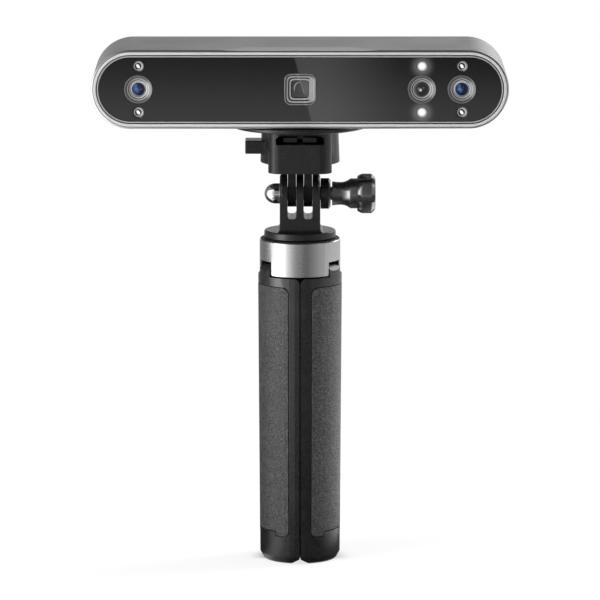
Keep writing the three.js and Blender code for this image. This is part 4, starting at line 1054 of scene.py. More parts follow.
    def piece(
        self, name: str, finish: Finish, body: str, slot: str, nodes: Sequence[str],
        edge: float = 0.0, steps: int = 2, angle: float = 32.0,
    ) -> None:
        """Finish the form as a piece of the object.

        Args:
            name: the piece's name.
            finish: what it is made of.
            body: the CAD body it rides on.
            slot: the record's material slot; not used.
            nodes: the CAD nodes it stands for.
            edge: radius of its rounded edges.
            steps: segments of each rounded edge.
            angle: faces that meet at more than this are an edge.
        """
        made = self.settled(name)
        made.data.shade_smooth()
        made.data.set_sharp_from_angle(angle=math.radians(angle))
        made.data.materials.append(finish.material())
        if edge:
            modifier = made.modifiers.new("edges", "BEVEL")
            modifier.width = edge * MM
            modifier.segments = steps
            modifier.limit_method = "ANGLE"
            modifier.angle_limit = math.radians(angle)
            modifier.use_clamp_overlap = True
        even = made.modifiers.new("even_normals", "WEIGHTED_NORMAL")
        even.keep_sharp = True
        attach(made, body)
        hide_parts(*nodes)
        log.info("%s: %d faces", name, len(made.data.polygons))


def arc(
    centre: tuple[float, float], radii: tuple[float, float], start: float, end: float, steps: int
) -> list[tuple[float, float]]:
    """Walk along an arc.

    Args:
        centre: its middle.
        radii: its two half axes.
        start: degrees where it starts.
        end: degrees where it ends.
        steps: how many segments it has.

    Returns:
        The arc's points, with both ends.
    """
    turns = [math.radians(start + (end - start) * step / steps) for step in range(steps + 1)]
    return [(centre[0] + radii[0] * math.cos(turn), centre[1] + radii[1] * math.sin(turn)) for turn in turns]


def rounded_square(half: float, radius: float) -> list[tuple[float, float]]:
    """Outline a square with round corners about the origin.

    Args:
        half: half its side.
        radius: radius of its corners.

    Returns:
        The outline's points.
    """
    points = []
    for quarter, (side_u, side_v) in enumerate(((1, 1), (-1, 1), (-1, -1), (1, -1))):
        centre = (side_u * (half - radius), side_v * (half - radius))
        points += arc(centre, (radius, radius), 90 * quarter, 90 * (quarter + 1), CORNER_STEPS)
    return points


def dressed_node(name: str, finish: Finish) -> None:
    """Give a carried-over CAD node its finish.

    Args:
        name: the node.
        finish: what it is made of.
    """
    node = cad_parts[name]
    node.data.materials.clear()
    node.data.materials.append(finish.material())
    log.info("%s: CAD node", name)


def rounded_node(
    node: str, name: str, finish: Finish, body: str, slot: str, edge: float, steps: int = 2
) -> None:
    """Make a piece of a CAD node by rounding its edges.

    Args:
        node: the CAD node.
        name: the piece's name.
        finish: what it is made of.
        body: the CAD body it rides on.
        slot: the record's material slot.
        edge: radius of its rounded edges.
        steps: segments of each rounded edge.
    """
    Form.node(node).piece(name, finish, body, slot, [node], edge, steps)


@dataclass
class HeadSize:
    """Sizes of the head's capsule outline, in millimetres."""

    half_width: float = 76.5
    radius: float = 14.5
    half_depth: float = 22.5
    middle_z: float = 179.57
    segments: int = 128

    @property
    def straight(self) -> float:
        """Half the outline's straight length."""
        return self.half_width - self.radius

    @property
    def top(self) -> float:
        """Height of the head's top."""
        return self.middle_z + self.radius

    @property
    def front(self) -> float:
        """Place of the shell's front edge."""
        return -self.half_depth

    def behind_front(self, outline: Profile) -> Profile:
        """Turn an outline into stations for a capsule.

        Args:
            outline: each point's inset from the capsule and its depth behind the front edge.

        Returns:
            The stations.
        """
        return [(inset, self.front + depth) for inset, depth in outline]


@dataclass
class ScannerHead:
    """Shell, bezel, trim, window and back of the scanner."""

    size: HeadSize
    wall: float = 1.5
    lip: float = 0.65
    lip_depth: float = 2.9
    front_round: float = 0.5
    rear_round: float = 2.4
    insert_hole: float = 5.12
    insert_span: tuple[float, float] = (-2.0, 3.0)
    brink_round: float = 0.22
    brink_depth: float = 0.42
    brink_reach: float = 0.2
    camera_hole: float = 5.27
    light_hole: float = 2.17
    projector_hole: float = 5.87
    projector_corner: float = 2.72
    hole_length: float = 6.0
    hole_start: float = 4.0
    bezel_outline: Profile = (
        (0.77, 0.12), (0.8, 0.04), (0.9, 0.0), (1.62, 0.0), (1.72, 0.04), (1.77, 0.12), (1.77, 0.7),
        (2.05, 0.7), (2.05, 2.15), (3.9, 2.15), (3.9, 2.75), (0.77, 2.75),
    )
    trim_outline: Profile = (
        (2.17, 0.3), (2.22, 0.22), (2.3, 0.2), (2.5, 0.2), (2.57, 0.22), (2.62, 0.3), (2.62, 1.85),
        (2.17, 1.85),
    )
    window_outline: Profile = ((2.86, 0.45), (2.76, 0.49), (2.74, 0.56), (2.74, 1.85))

    def shell(self) -> None:
        """Build the grey shell with the scoop in its top front edge."""
        front, rear = self.size.front, self.size.half_depth
        inner, stop = rear - self.rear_round, front + self.lip_depth
        stations = [
            (self.lip, front),
            *arc((self.front_round, front + self.front_round), (self.front_round,) * 2, -90, -180, 4),
            *arc((self.rear_round, inner), (self.rear_round,) * 2, 180, 90, 8),
            (self.rear_round, inner), (self.wall, inner), (self.wall, stop), (self.lip, stop),
        ]
        bottom = (0, 0, self.size.middle_z - self.size.radius)
        hole = Form.cylinder(self.insert_hole, self.insert_span, Axis.UP, bottom)
        shell = Form.capsule(self.size, stations, closed=True).cut(self.scoop(), hole)
        brink = [edge for edge in shell.mesh.edges if self.on_brink(edge)]
        log.info("scoop's brink: %d edges", len(brink))
        bmesh.ops.bevel(
            shell.mesh, geom=brink, offset=self.brink_round, segments=3, profile=0.5, affect="EDGES"
        )
        shell.piece("shell", SHELL_METAL, "head", "head_shell", ["head_shell"], angle=24)

    def scoop(self) -> Form:
        """Shape the cutter of the shallow slanted scoop.

        Returns:
            The cutter.
        """
        front, top = self.size.front, self.size.top
        before, above = front - SCOOP.clearance, top + SCOOP.clearance
        floor, back = top - SCOOP.depth, front + SCOOP.length
        points = []
        for side in (-1, 1):
            wide, middle, narrow = side * SCOOP.half_lip, side * SCOOP.half_floor, side * SCOOP.half_rear
            points += [(wide, front, top), (middle, front, floor)]
            points += [(wide, before, top), (middle, before, floor)]
            points += [(narrow, back, top), (wide, before, above), (narrow, back, above)]
        return Form.hull(points)

    def on_brink(self, edge: bmesh.types.BMEdge) -> bool:
        """Tell whether an edge runs along the scoop's front brink.

        Args:
            edge: an edge of the shell after the cut.

        Returns:
            Whether it gets rounded.
        """
        ahead, top = self.size.front + self.brink_reach, self.size.top
        along = all(
            vert.co.y < ahead and top - self.brink_depth < vert.co.z < top - 0.01
            and abs(vert.co.x) < SCOOP.half_lip + 0.5 for vert in edge.verts
        )
        return along and edge.calc_length() > 3 and edge.calc_face_angle(0.0) > 0.5

    def bezel(self) -> None:
        """Build the polished bezel with its groove, and the thin trim ring beside it."""
        bezel = Form.capsule(self.size, self.size.behind_front(self.bezel_outline), closed=True)
        bezel.piece("bezel", BEZEL_METAL, "head", "polished_trim", ["front_bezel"], angle=40)
        trim = Form.capsule(self.size, self.size.behind_front(self.trim_outline), closed=True)
        trim.piece("trim_ring", TRIM_METAL, "head", "polished_trim", ["window_trim_ring"], angle=40)

    def window(self, optics: "Optics") -> None:
        """Build the black window with a hole for each optic.

        Args:
            optics: what looks through it.
        """
        middle, behind, span = self.size.middle_z, self.size.front + self.hole_start, (0, self.hole_length)
        pane = Form.capsule(self.size, self.size.behind_front(self.window_outline), closed=False)
        holes = []
        for x in optics.camera_places.values():
            holes.append(Form.cylinder(self.camera_hole, span, Axis.FRONT, (x, behind, middle)))
        for x, z in optics.light_places.values():
            holes.append(Form.cylinder(self.light_hole, span, Axis.FRONT, (x, behind, middle + z), 40))
        square = rounded_square(self.projector_hole, self.projector_corner)
        holes.append(Form.drawn(square, self.hole_length, Axis.FRONT, (0, behind, middle)))
        lit = tuple(place for name, place in optics.light_places.items() if name.startswith("colour"))
        glass = WindowGlass("black_window_glass", (0, 0, middle), lit)
        pane.cut(*holes).piece("window", glass, "head", "window", ["front_window"], angle=15)

    def back(self) -> None:
        """Dress the rear cover, its screws, its inlet, its buttons and its status light."""
        rounded_node("rear_cover", "back_cover", COVER_PLASTIC, "head", "black_plastic", edge=0.18)
        for name in ("scan_button", "plus_button", "minus_button"):
            rounded_node(name, f"{name}_cap", RUBBER, name, "soft_rubber", edge=0.3, steps=3)
        for index in range(1, 5):
            dressed_node(f"cover_screw_{index}", STEEL)
        dressed_node("usb_inlet", STEEL)
        dressed_node("tripod_insert", BRASS)
        low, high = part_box("status_light")
        centre = tuple(v / MM for v in (low + high) / 2)
        dressed_node("status_light", Bulb("status_bulb", centre, Light.WHITE))

    def inside(self) -> None:
        """Dress what the shell hides."""
        dressed_node("optics_chassis", CHASSIS_METAL)
        dressed_node("main_board", LACQUER)
        for name in ("left_infrared", "colour", "right_infrared"):
            dressed_node(f"{name}_camera_module", BLOCK_METAL)
        dressed_node("projector_module", BLOCK_METAL)

    def build(self, optics: "Optics") -> None:
        """Build the whole head but its optics.

        Args:
            optics: what looks through the window.
        """
        self.shell()
        self.bezel()
        self.window(optics)
        self.back()
        self.inside()


# Each glint: its x, z and reach in millimetres from the lens's middle, and its colour.
COLOUR_GLINTS = (
    ((-0.5, -0.35, 0.75), srgb(214, 214, 216)),
    ((-1.0, 0.1, 0.7), srgb(104, 106, 108)),
    ((0.6, 0.5, 0.7), srgb(70, 72, 70)),
)
INFRARED_GLINTS = (
    ((-0.8, 0.05, 1.0), srgb(40, 118, 168)),
    ((-0.3, -0.75, 0.8), srgb(44, 78, 190)),
    ((-0.95, 1.2, 1.0), srgb(64, 84, 112)),
    ((0.35, -0.25, 0.4), srgb(18, 74, 78)),
    ((0.5, 0.65, 0.7), srgb(26, 38, 78)),
)


@dataclass
class Optics:
    """Cameras, projector and lights behind the window."""

    size: HeadSize
    infrared_x: float = 59.2
    colour_x: float = 44.6
    light_z: float = 8.5
    face: float = -22.05
    soft_edge: float = 0.06
    fine_edge: float = 0.08
    ring_radius: float = 5.15
    ring_walls: tuple[float, ...] = (4.2, 3.6, 3.1, 2.9)
    ring_length: float = 3.6
    step_depth: float = 0.35
    lens_radius: float = 2.78
    lens_crown: float = 0.6
    lens_depth: float = 1.05
    lens_edge: float = 1.6
    bulb_case: float = 2.05
    bulb_well: float = 1.6
    bulb_radius: float = 1.15
    bulb_crown: float = 0.55
    bulb_depth: float = 0.95
    bulb_length: float = 3.2
    frame_half: float = 5.75
    frame_corner: float = 2.6
    frame_step: float = 0.85
    cutter_length: float = 2.0
    bore_half: float = 3.2
    bore_corner: float = 0.6
    bore_start: float = 5.0
    bore_length: float = 9.0
    pane_gap: float = 0.12
    pane_thickness: float = 1.2

    @property
    def camera_places(self) -> dict[str, float]:
        """Each camera's place along the head."""
        outer = self.infrared_x
        return {"left_infrared": -outer, "colour": self.colour_x, "right_infrared": outer}

    @property
    def light_places(self) -> dict[str, tuple[float, float]]:
        """Each light's place from the middle of the head.

        Returns:
            Its x and z by the light's name.
        """
        places = {}
        for side, x in (("left", -self.infrared_x), ("colour", self.colour_x), ("right", self.infrared_x)):
            places[f"{side}_upper_led"] = (x, self.light_z)
            places[f"{side}_lower_led"] = (x, -self.light_z)
        return places

    @property
    def projector_place(self) -> Point:
        """Middle of the projector's front."""
        return (0.0, self.face, self.size.middle_z)

    def ring(self, name: str, at: Point) -> None:
        """Build one camera's stepped ring.

        Args:
            name: the camera's name.
            at: the point that its heights start from.
        """
        front = -self.face
        outer, back, fine = self.ring_radius, front - self.ring_length, self.fine_edge
        profile = [
            (outer, back), (outer, front - fine), (outer - fine, front), (self.ring_walls[0] + fine, front),
            (self.ring_walls[0], front - self.soft_edge),
        ]
        for step, (radius, inner) in enumerate(zip(self.ring_walls, self.ring_walls[1:]), 1):
            top = front - self.step_depth * step
            profile += [(radius, top), (inner + fine, top), (inner, top - self.soft_edge)]
        profile += [(self.ring_walls[-1], back), (outer, back)]
        ring = Form.turned(profile, Axis.FRONT, at, 80)
        finish = SteppedRing(f"{name}_ring", at)
        ring.piece(f"{name}_ring", finish, "head", "camera_ring", [f"{name}_camera_ring"], angle=38)

    def lens(self, name: str, at: Point) -> None:
        """Build one camera's crowned lens.

        Args:
            name: the camera's name.
            at: the point that its heights start from.
        """
        top = -self.face - self.lens_depth - self.lens_crown
        low = top - self.lens_edge
        dome = arc((0, top), (self.lens_radius, self.lens_crown), 0, 90, DOME_STEPS)
        lens = Form.turned([(0, low), (self.lens_radius, low), *dome], Axis.FRONT, at, 64)
        if name == "colour":
            finish = CoatedLens("colour_lens", at, srgb(22), srgb(42, 44, 44), srgb(112), COLOUR_GLINTS)
        else:
            finish = CoatedLens(
                f"{name}_lens", at, srgb(8, 16, 32), srgb(18, 27, 60), srgb(228, 224, 246), INFRARED_GLINTS
            )
        lens.piece(f"{name}_lens", finish, "head", "lens", [f"{name}_camera_lens"], angle=60)

    def bulb(self, name: str, x: float, z: float) -> None:
        """Build one light: a bright rim round a domed bulb.

        Args:
            name: the light's name.
            x: its place along the head.
            z: its height from the head's middle.
        """
        at = (x, 0.0, self.size.middle_z + z)
        front = -self.face
        case, well, soft = self.bulb_case, self.bulb_well, self.soft_edge
        low, floor = front - self.bulb_length, front - self.bulb_depth
        profile = [
            (0, low), (case, low), (case, front - soft), (case - soft, front), (well + soft, front),
            (well, front - soft), (well, floor),
            *arc((0, floor), (self.bulb_radius, self.bulb_crown), 0, 90, 8),
        ]
        light = Light.WHITE if name.startswith("colour") else Light.INFRARED
        slot = "white_led" if light is Light.WHITE else "infrared_led"
        bulb = Form.turned(profile, Axis.FRONT, at, 48)
        bulb.piece(f"{name}_bulb", Bulb(f"{name}_glass", at, light), "head", slot, [name], angle=40)

    def projector_frame(self) -> None:
        """Build the projector's square frame with its steps and its bore."""
        x, y, z = self.projector_place
        outline = rounded_square(self.frame_half, self.frame_corner)
        surround = Form.drawn(outline, -self.ring_length, Axis.FRONT, (x, y, z))
        cutters = []
        for step in (1, 2):
            inset = step * self.frame_step
            outline = rounded_square(self.frame_half - inset, self.frame_corner - inset)
            floor = (x, y + step * self.step_depth, z)
            cutters.append(Form.drawn(outline, self.cutter_length, Axis.FRONT, floor))
        bore = rounded_square(self.bore_half, self.bore_corner)
        cutters.append(Form.drawn(bore, self.bore_length, Axis.FRONT, (x, y + self.bore_start, z)))
        finish = SteppedFrame("projector_frame_finish", (x, y, z))
        surround.cut(*cutters).piece(
            "projector_surround", finish, "head", "camera_ring", ["projector_frame"], edge=0.07
        )

    def projector_pane(self) -> None:
        """Build the pane at the bottom of the projector's frame."""
        x, y, z = self.projector_place
        outline = rounded_square(self.bore_half - self.pane_gap, self.bore_corner - self.pane_gap)
        pane = Form.drawn(outline, -self.pane_thickness, Axis.FRONT, (x, y + self.lens_depth, z))
        finish = ProjectorPane("projector_pane_glass", (x, y, z))
        pane.piece("projector_pane", finish, "head", "lens", ["projector_window"], edge=0.08)

    def build(self) -> None:
        """Build every optic."""
        for name, x in self.camera_places.items():
            self.ring(name, (x, 0.0, self.size.middle_z))
            self.lens(name, (x, 0.0, self.size.middle_z))
        for name, (x, z) in self.light_places.items():
            self.bulb(name, x, z)
        self.projector_frame()
        self.projector_pane()


@dataclass
class QuickMount:
    """Mounting plate, receiver and release lever under the head."""

    finger_root: float = 147.22
    finger_end: float = 132.87
    finger_x: float = 3.0
    finger_swell: float = 0.13

    def receiver(self) -> None:
        """Build the receiver, with fingers that swell towards their tips."""
        receiver = Form.node("quick_release_receiver")
        for vert in receiver.mesh.verts:
            drop = (self.finger_root - vert.co.z) / (self.finger_root - self.finger_end)
            if drop > 0:
                beside = vert.co.x - math.copysign(self.finger_x, vert.co.x)
                vert.co.x += math.copysign(self.finger_swell * drop, beside)
        receiver.piece(
            "receiver", BLACK_PLASTIC, "receiver", "black_plastic", ["quick_release_receiver"], edge=0.18
        )

    def build(self) -> None:
        """Build the plate, the receiver, the lever and what they hide."""
        rounded_node("mount_plate", "plate", BLACK_PLASTIC, "head", "black_plastic", edge=0.16)
        self.receiver()
        rounded_node("release_lever", "lever", BLACK_PLASTIC, "lever", "black_plastic", edge=0.35, steps=3)
        dressed_node("mount_screw", STEEL)
        dressed_node("lever_spring", STEEL)


@dataclass
class FingerClamp:
    """Three-finger adapter with its bolt, nut, spacer and thumb knob."""

    axis_z: float = 137.87
    bore: float = 2.66
    clamp_half: float = 7.62
    nut_start: float = 5.42
    nut_socket: float = 3.9
    nut_radius: float = 3.8
    nut_straight: float = 9.1
    nut_crown: float = 4.1
    nut_bore: tuple[float, float] = (-9.7, 0.0)
    spacer_radius: float = 5.7
    spacer_end: float = 11.35
    knob_start: float = 11.9
    knob_length: float = 16.1
    knob_bore: tuple[float, float] = (11.0, 20.2)
    foot_radius: float = 4.5
    foot_round: float = 0.15
    waist_radius: float = 4.22
    waist_start: float = 0.4
    waist_length: float = 6.4
    waist_share: float = 0.45
    foot_flare: float = 0.25
    head_flare: float = 1.35
    head_length: float = 6.75
    head_radius: float = 7.35
    grooves: int = 6
    groove_radius: float = 0.55
    groove_mouth: float = 0.9
    groove_height: float = 2.4
    groove_depth: float = 1.25

    @property
    def at(self) -> Point:
        """A point on the clamp's axis."""
        return (0.0, 0.0, self.axis_z)

    def adapter(self) -> None:
        """Dress the three fingers on their round flange."""
        rounded_node("finger_adapter", "adapter", BLACK_PLASTIC, "adapter", "black_plastic", edge=0.28)

    def nut(self) -> None:
        """Build the chromed domed nut, turned to the right and then mirrored to the left."""
        fine = self.nut_socket - self.nut_radius
        profile = [
            (0, self.nut_start), (self.nut_socket, self.nut_start), (self.nut_socket, self.clamp_half),
            (self.nut_radius, self.clamp_half + fine),
            *arc((0, self.nut_straight), (self.nut_radius, self.nut_crown), 0, 90, DOME_STEPS),
        ]
        nut = Form.turned(profile, Axis.RIGHT, (0, 0, 0), 64)
        nut.mesh.transform(Matrix.Translation(self.at) @ Matrix.Scale(-1, 4, (1, 0, 0)))
        bore = Form.cylinder(self.bore, self.nut_bore, Axis.RIGHT, self.at, 40)
        nut.mend().cut(bore).piece("nut", CHROME, "adapter", "chrome", ["domed_nut"], angle=35)

    def spacer(self) -> None:
        """Build the spacer washer between fingers and knob."""
        wide, low, high = self.spacer_radius, self.clamp_half, self.spacer_end
        profile = [
            (self.bore, low), (wide - 0.2, low), (wide, low + 0.2), (wide, high - 0.7),
            (wide - 0.2, high - 0.45), (wide - 0.7, high), (self.bore, high), (self.bore, low),
        ]
        ring = Form.turned(profile, Axis.RIGHT, self.at, 72)
        ring.piece("spacer", BLACK_PLASTIC, "thumbscrew", "black_plastic", ["spacer_washer"], angle=30)

    def neck(self) -> list[tuple[float, float]]:
        """Draw the knob's waisted neck, from its round foot to where it flares into the head.

        Returns:
            The radii and places along the clamp's axis.
        """
        start, foot, narrow = self.knob_start, self.foot_radius, self.waist_share
        points = [(0, start), (foot - self.foot_round, start), (foot, start + self.foot_round)]
        for step in range(17):
            along = step / 16
            if along < narrow:
                flare = self.foot_flare * (1 - 2.2 * along) ** 2
            else:
                flare = self.head_flare * ((along - narrow) / (1 - narrow)) ** 2
            height = start + self.waist_start + self.waist_length * along
            points.append((self.waist_radius + flare, height))
        return points

    def groove(self, number: int, start: float) -> Form:
        """Shape the cutter of one groove in the knob's head.

        Args:
            number: the groove's number.
            start: where the head starts along the clamp's axis.

        Returns:
            The cutter.
        """
        radius, mouth, height = self.groove_radius, self.groove_mouth, self.groove_height
        outline = [(-radius, 0.0), (-mouth, height), (mouth, height)]
        outline += arc((0, 0), (radius, radius), 0, -180, 8)[:-1]
        cutter = Form.drawn(outline[::-1], self.head_length + 2, Axis.UP, (0, 0, 0))
        out = self.head_radius - self.groove_depth + radius
        lay = Axis.RIGHT.value @ Matrix.Rotation(QUARTER_TURN, 4, "Z")
        spin = Matrix.Rotation(QUARTER_TURN + (number + 0.5) * FULL_TURN / self.grooves, 4, "X")
        move = Matrix.Translation((start - 1, 0, self.axis_z)) @ spin @ Matrix.Translation((0, out, 0))
        cutter.mesh.transform(move @ lay)
        return cutter.mend()

    def knob(self) -> None:
        """Build the waisted thumb knob with the grooves in its crowned head."""
        end = self.knob_start + self.knob_length
        start, wide = end - self.head_length, self.head_radius
        head = [
            (wide - 1.75, start), (wide - 1.05, start), (wide - 0.8, start + 0.12),
            (wide - 0.35, start + 0.9), (wide - 0.1, start + 1.5), (wide, start + 2.0), (wide, end - 1.6),
            (wide - 0.15, end - 1.3), (wide - 1.4, end - 0.12), (wide - 1.65, end), (0, end),
        ]
        body = Form.turned([*self.neck(), *head], Axis.RIGHT, self.at, 96)
        cutters = [self.groove(number, start) for number in range(self.grooves)]
        cutters.append(Form.cylinder(self.bore, self.knob_bore, Axis.RIGHT, self.at, 40))
        body.cut(*cutters).piece(
            "knob", KNOB_METAL, "thumbscrew", "black_knob", ["thumb_knob"], edge=0.12, angle=40
        )

    def build(self) -> None:
        """Build the whole clamp."""
        self.adapter()
        self.nut()
        self.spacer()
        self.knob()
        dressed_node("pivot_bolt", STEEL)


@dataclass
class TripodGrip:
    """Collar, hub and the three legs with their panels, pads and pins."""

    legs: tuple[str, ...] = ("left", "right", "rear")

    def leg(self, name: str) -> None:
        """Dress one leg's shell, panel, pad and pin.

        Args:
            name: the side that the leg stands on.
        """
        body = f"{name}_leg"
        rounded_node(f"{name}_leg_shell", body, LEG_PLASTIC, body, "leg_plastic", edge=0.45, steps=3)
        rounded_node(f"{name}_grip_panel", f"{name}_skin", PANEL_SKIN, body, "grip_skin", edge=0.25)
        rounded_node(f"{name}_foot_pad", f"{name}_pad", RUBBER, body, "soft_rubber", edge=0.15)
        dressed_node(f"{name}_hinge_pin", STEEL)

    def build(self) -> None:
        """Dress the grip."""
        rounded_node("grip_collar", "collar", COLLAR_METAL, "grip", "collar", edge=0.2)
        rounded_node("tripod_hub", "hub", COVER_PLASTIC, "grip", "black_plastic", edge=0.15)
        dressed_node("tripod_stud", STEEL)
        for name in self.legs:
            self.leg(name)


@dataclass
class Studio:
    """Pale floor, soft lamps, the grey surround that metal mirrors, and the camera."""

    distance: float = 1.9
    front: float = -0.0225
    camera_z: float = 0.4265
    pitch: float = 0.16939
    lens: float = 314.1
    ring_radius: float = 0.7
    ring_height: float = 1.2
    base_height: float = 0.0006
    lamp_distance: float = 0.6
    lamp_height: float = 0.47
    lamp_length: float = 0.92
    # Degrees from the front, positive to the right, and how bright the surround is there.
    surround: tuple[tuple[float, float], ...] = (
        (-180, 0.45), (-150, 0.28), (-118, 0.2), (-102, 0.28), (-92, 0.5), (-84, 1.3), (-73, 3.4),
        (-62, 4.6), (-52, 3.4), (-46, 1.5), (-40, 1.0), (-27, 0.7), (-15, 0.36), (-4, 0.22), (10, 0.14),
        (21, 0.16), (32, 0.27), (60, 0.44), (108, 0.58), (150, 0.66), (180, 0.45),
    )
    brightest: float = 8.0

    def staged(self, name: str, mesh: bmesh.types.BMesh, mirrored: bool) -> Graph:
        """Make one piece of the studio, with an empty material.

        Args:
            name: its name.
            mesh: its shape, which is freed.
            mirrored: whether it shows in gloss alone.

        Returns:
            Its material's graph.
        """
        data = bpy.data.meshes.new(name)
        mesh.to_mesh(data)
        mesh.free()
        made = bpy.data.objects.new(name, data)
        bpy.context.scene.collection.objects.link(made)
        material = bpy.data.materials.new(name)
        material.use_nodes = True
        data.materials.append(material)
        if mirrored:
            made.visible_camera = made.visible_diffuse = made.visible_shadow = False
            made.visible_transmission = made.visible_volume_scatter = False
        return Graph(material.node_tree)

    def disc(self, name: str, height: float, segments: int) -> Graph:
        """Lay a disc that shows in gloss alone.

        Args:
            name: its name.
            height: how high it lies, in metres.
            segments: how many sides it has.

        Returns:
            Its material's graph.
        """
        mesh = bmesh.new()
        bmesh.ops.create_circle(mesh, cap_ends=True, segments=segments, radius=self.ring_radius)
        bmesh.ops.translate(mesh, vec=(0, 0, height), verts=mesh.verts[:])
        return self.staged(name, mesh, mirrored=True)

    def seen(self, graph: Graph) -> Field:
        """Give 1 for rays that show the background: from the camera, off gloss and through glass.

        Args:
            graph: the graph that asks.

        Returns:
            The share, 0 or 1.
        """
        path = graph.node("ShaderNodeLightPath", {}, {})
        kinds = ("Is Camera Ray", "Is Glossy Ray", "Is Transmission Ray")
        camera, gloss, glass = (Field(graph, path.outputs[kind]) for kind in kinds)
        return camera.math("MAXIMUM", gloss).math("MAXIMUM", glass)

    def floor(self) -> None:
        """Lay a pale floor that turns white away from the object and keeps its shadow."""
        mesh = bmesh.new()
        bmesh.ops.create_grid(mesh, x_segments=1, y_segments=1, size=6)
        graph = self.staged("floor", mesh, mirrored=False)
        x, y, _ = graph.parts(graph.place())
        far = distance(x, y)
        near = y.ease(-1.5, -4.5).math("MAXIMUM", far.ease(14.0, 20.0))
        share = self.seen(graph) * (near * 0.75 + far.ease(30.0, 330.0) * 0.25)
        paint = graph.node("ShaderNodeBsdfDiffuse", {}, {"Color": srgb(248), "Roughness": 0.5})
        white = graph.node("ShaderNodeEmission", {}, {"Color": WHITE, "Strength": 1.0})
        mixed = graph.node("ShaderNodeMixShader", {}, {0: share, 1: paint.outputs[0], 2: white.outputs[0]})
        graph.node("ShaderNodeOutputMaterial", {}, {"Surface": mixed.outputs[0]})

    def tone(self, graph: Graph, x: Field, y: Field) -> Field:
        """Give the surround's brightness on the side that a point lies on.

        Args:
            graph: the graph that asks.
            x: the point's place to the right.
            y: the point's place to the back.

        Returns:
            The brightness.
        """
        turn = x.math("ARCTAN2", y * -1.0) / FULL_TURN + 0.5
        stops = [((angle + 180) / 360, (level / self.brightest,) * 3) for angle, level in self.surround]
        ramp = graph.field("ShaderNodeValToRGB", {"stops": stops}, {"Fac": turn})
        return graph.field("ShaderNodeRGBToBW", {}, {0: ramp}) * self.brightest

    def base(self) -> None:
        """Lay a disc that only gloss shows, dark near the object, as a real table mirrors its shade."""
        graph = self.disc("mirrored_base", self.base_height, 96)
        x, y, _ = graph.parts(graph.place())
        far = distance(x, y)
        left = (x * -1.0 / far).ease(0.2, 0.65) * (y / far).ease(0.1, -0.5) * (0.2 + far.ease(60.0, 400.0))
        right = x.math("ARCTAN2", y * -1.0).ease(0.8, 2.0) * x.ease(30.0, 60.0) * 1.6
        patch = (left + right) * far.ease(450.0, 370.0)
        graph.glow(self.tone(graph, x, y) * (0.12 + far.ease(10.0, 620.0) * 0.88) + patch)

    def ring(self) -> None:
        """Stand a grey surround round the object, brighter to the left and right than in front."""
        mesh = bmesh.new()
        bmesh.ops.create_cone(
            mesh, cap_ends=False, segments=96, radius1=self.ring_radius, radius2=self.ring_radius,
            depth=self.ring_height,
        )
        bmesh.ops.translate(mesh, vec=(0, 0, self.ring_height / 2), verts=mesh.verts[:])
        graph = self.staged("surround", mesh, mirrored=True)
        x, y, z = graph.parts(graph.place())
        # In front, a low strip of light, and a brighter patch in it with a slanted left edge.
        low, high = 75.0, 108.0
        ahead = abs(x).ease(170.0, 120.0) * y.ease(0.0, -10.0)
        rising = z.ease(low - 22.0, low - 6.0)
        strip = z.ease(high + 6.0, low - 2.0) * rising
        slant = (x + (z - low) * LEAN - 5.9).ease(-0.25, 0.25) * x.ease(57.0, 4.0)
        slant = slant * z.ease(high + 12.0, high + 4.0) * rising
        # At the back, a light band at the head's height and shade above it.
        behind = y.ease(500.0, 640.0) * z.ease(250.0, 236.0) * z.ease(165.0, 195.0)
        above = y.ease(350.0, 560.0) * z.ease(236.0, 266.0)
        # To the right and behind, a high pane of light.
        pane = x.ease(150.0, 350.0) * y.ease(100.0, 300.0) * z.ease(260.0, 420.0)
        light = self.tone(graph, x, y) * (1.0 - above * 0.7) + pane * 3.0 + behind
        graph.glow(light + ahead * (strip * 0.75 + slant * 1.1))

    def world(self) -> None:
        """Light everything softly, with a white background."""
        world = bpy.data.worlds.new("studio")
        world.use_nodes = True
        bpy.context.scene.world = world
        graph = Graph(world.node_tree)
        shown = graph.node("ShaderNodeBackground", {}, {"Color": WHITE, "Strength": 1.0})
        light = graph.node("ShaderNodeBackground", {}, {"Color": WHITE, "Strength": 0.36})
        shaders = {0: self.seen(graph), 1: light.outputs[0], 2: shown.outputs[0]}
        mixed = graph.node("ShaderNodeMixShader", {}, shaders)
        graph.node("ShaderNodeOutputWorld", {}, {"Surface": mixed.outputs[0]})

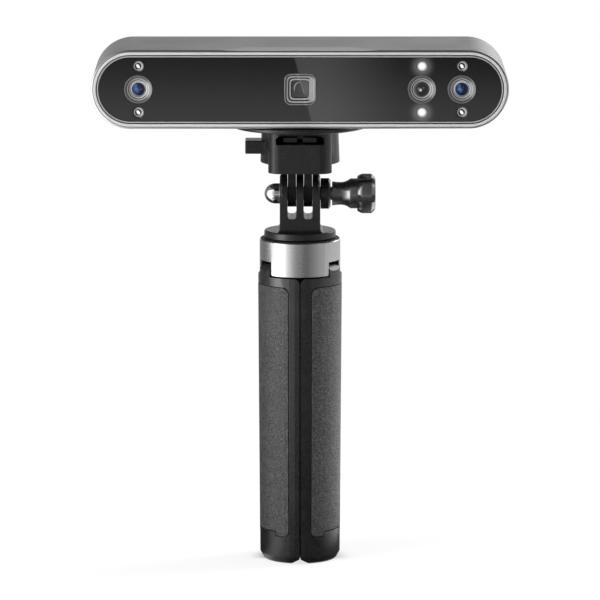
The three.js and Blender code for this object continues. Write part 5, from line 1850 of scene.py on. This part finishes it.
    def lamp(
        self, name: str, place: Point, target: Point, size: tuple[float, float], watts: float
    ) -> None:
        """Hang one soft lamp.

        Args:
            name: its name.
            place: where it hangs, in metres.
            target: what it faces.
            size: width and height of its face.
            watts: its power.
        """
        data = bpy.data.lights.new(name, "AREA")
        data.shape = "RECTANGLE"
        data.size, data.size_y = size
        data.energy = watts
        lamp = bpy.data.objects.new(name, data)
        lamp.location = place
        aim = Vector(target) - Vector(place)
        lamp.rotation_euler = aim.to_track_quat("-Z", "Y").to_euler()
        lamp.visible_camera = lamp.visible_glossy = False
        bpy.context.scene.collection.objects.link(lamp)

    def upright_lamp(self, name: str, azimuth: float, width: float, watts: float) -> None:
        """Stand a tall soft lamp beside the object.

        Args:
            name: its name.
            azimuth: degrees from the front, positive to the right.
            width: width of its face in metres.
            watts: its power.
        """
        turn = math.radians(azimuth)
        x, y = self.lamp_distance * math.sin(turn), -self.lamp_distance * math.cos(turn)
        target = (0.0, 0.0, self.lamp_height)
        self.lamp(name, (x, y, self.lamp_height), target, (width, self.lamp_length), watts)

    def camera(self) -> None:
        """Place the camera at the photograph's viewing angle."""
        data = bpy.data.cameras.new("camera")
        data.lens = self.lens
        data.sensor_width = 36.0
        data.clip_start, data.clip_end = 0.05, 50.0
        camera = bpy.data.objects.new("camera", data)
        camera.location = (0.0, self.front - self.distance, self.camera_z)
        camera.rotation_euler = (QUARTER_TURN - self.pitch, 0.0, 0.0)
        bpy.context.scene.collection.objects.link(camera)
        bpy.context.scene.camera = camera

    def build(self) -> None:
        """Set up the studio, with a dark flag overhead, so that top edges read dark."""
        self.floor()
        self.base()
        self.ring()
        self.disc("overhead_flag", self.ring_height, 64).glow(0.07)
        self.world()
        self.upright_lamp("key", azimuth=-58.0, width=0.26, watts=3.9)
        self.upright_lamp("rim", azimuth=112.0, width=0.3, watts=8.5)
        self.lamp("top", (0.0, -0.1, 1.5), (0, 0, 0.15), size=(1.4, 1.2), watts=9)
        self.camera()
        bpy.context.scene.view_settings.view_transform = "Standard"


def main() -> None:
    """Build every piece, then the studio."""
    logging.basicConfig(level=logging.INFO, format="%(message)s")
    size = HeadSize()
    optics = Optics(size)
    ScannerHead(size).build(optics)
    optics.build()
    QuickMount().build()
    FingerClamp().build()
    TripodGrip().build()
    Studio().build()


if __name__ == "__main__":
    main()
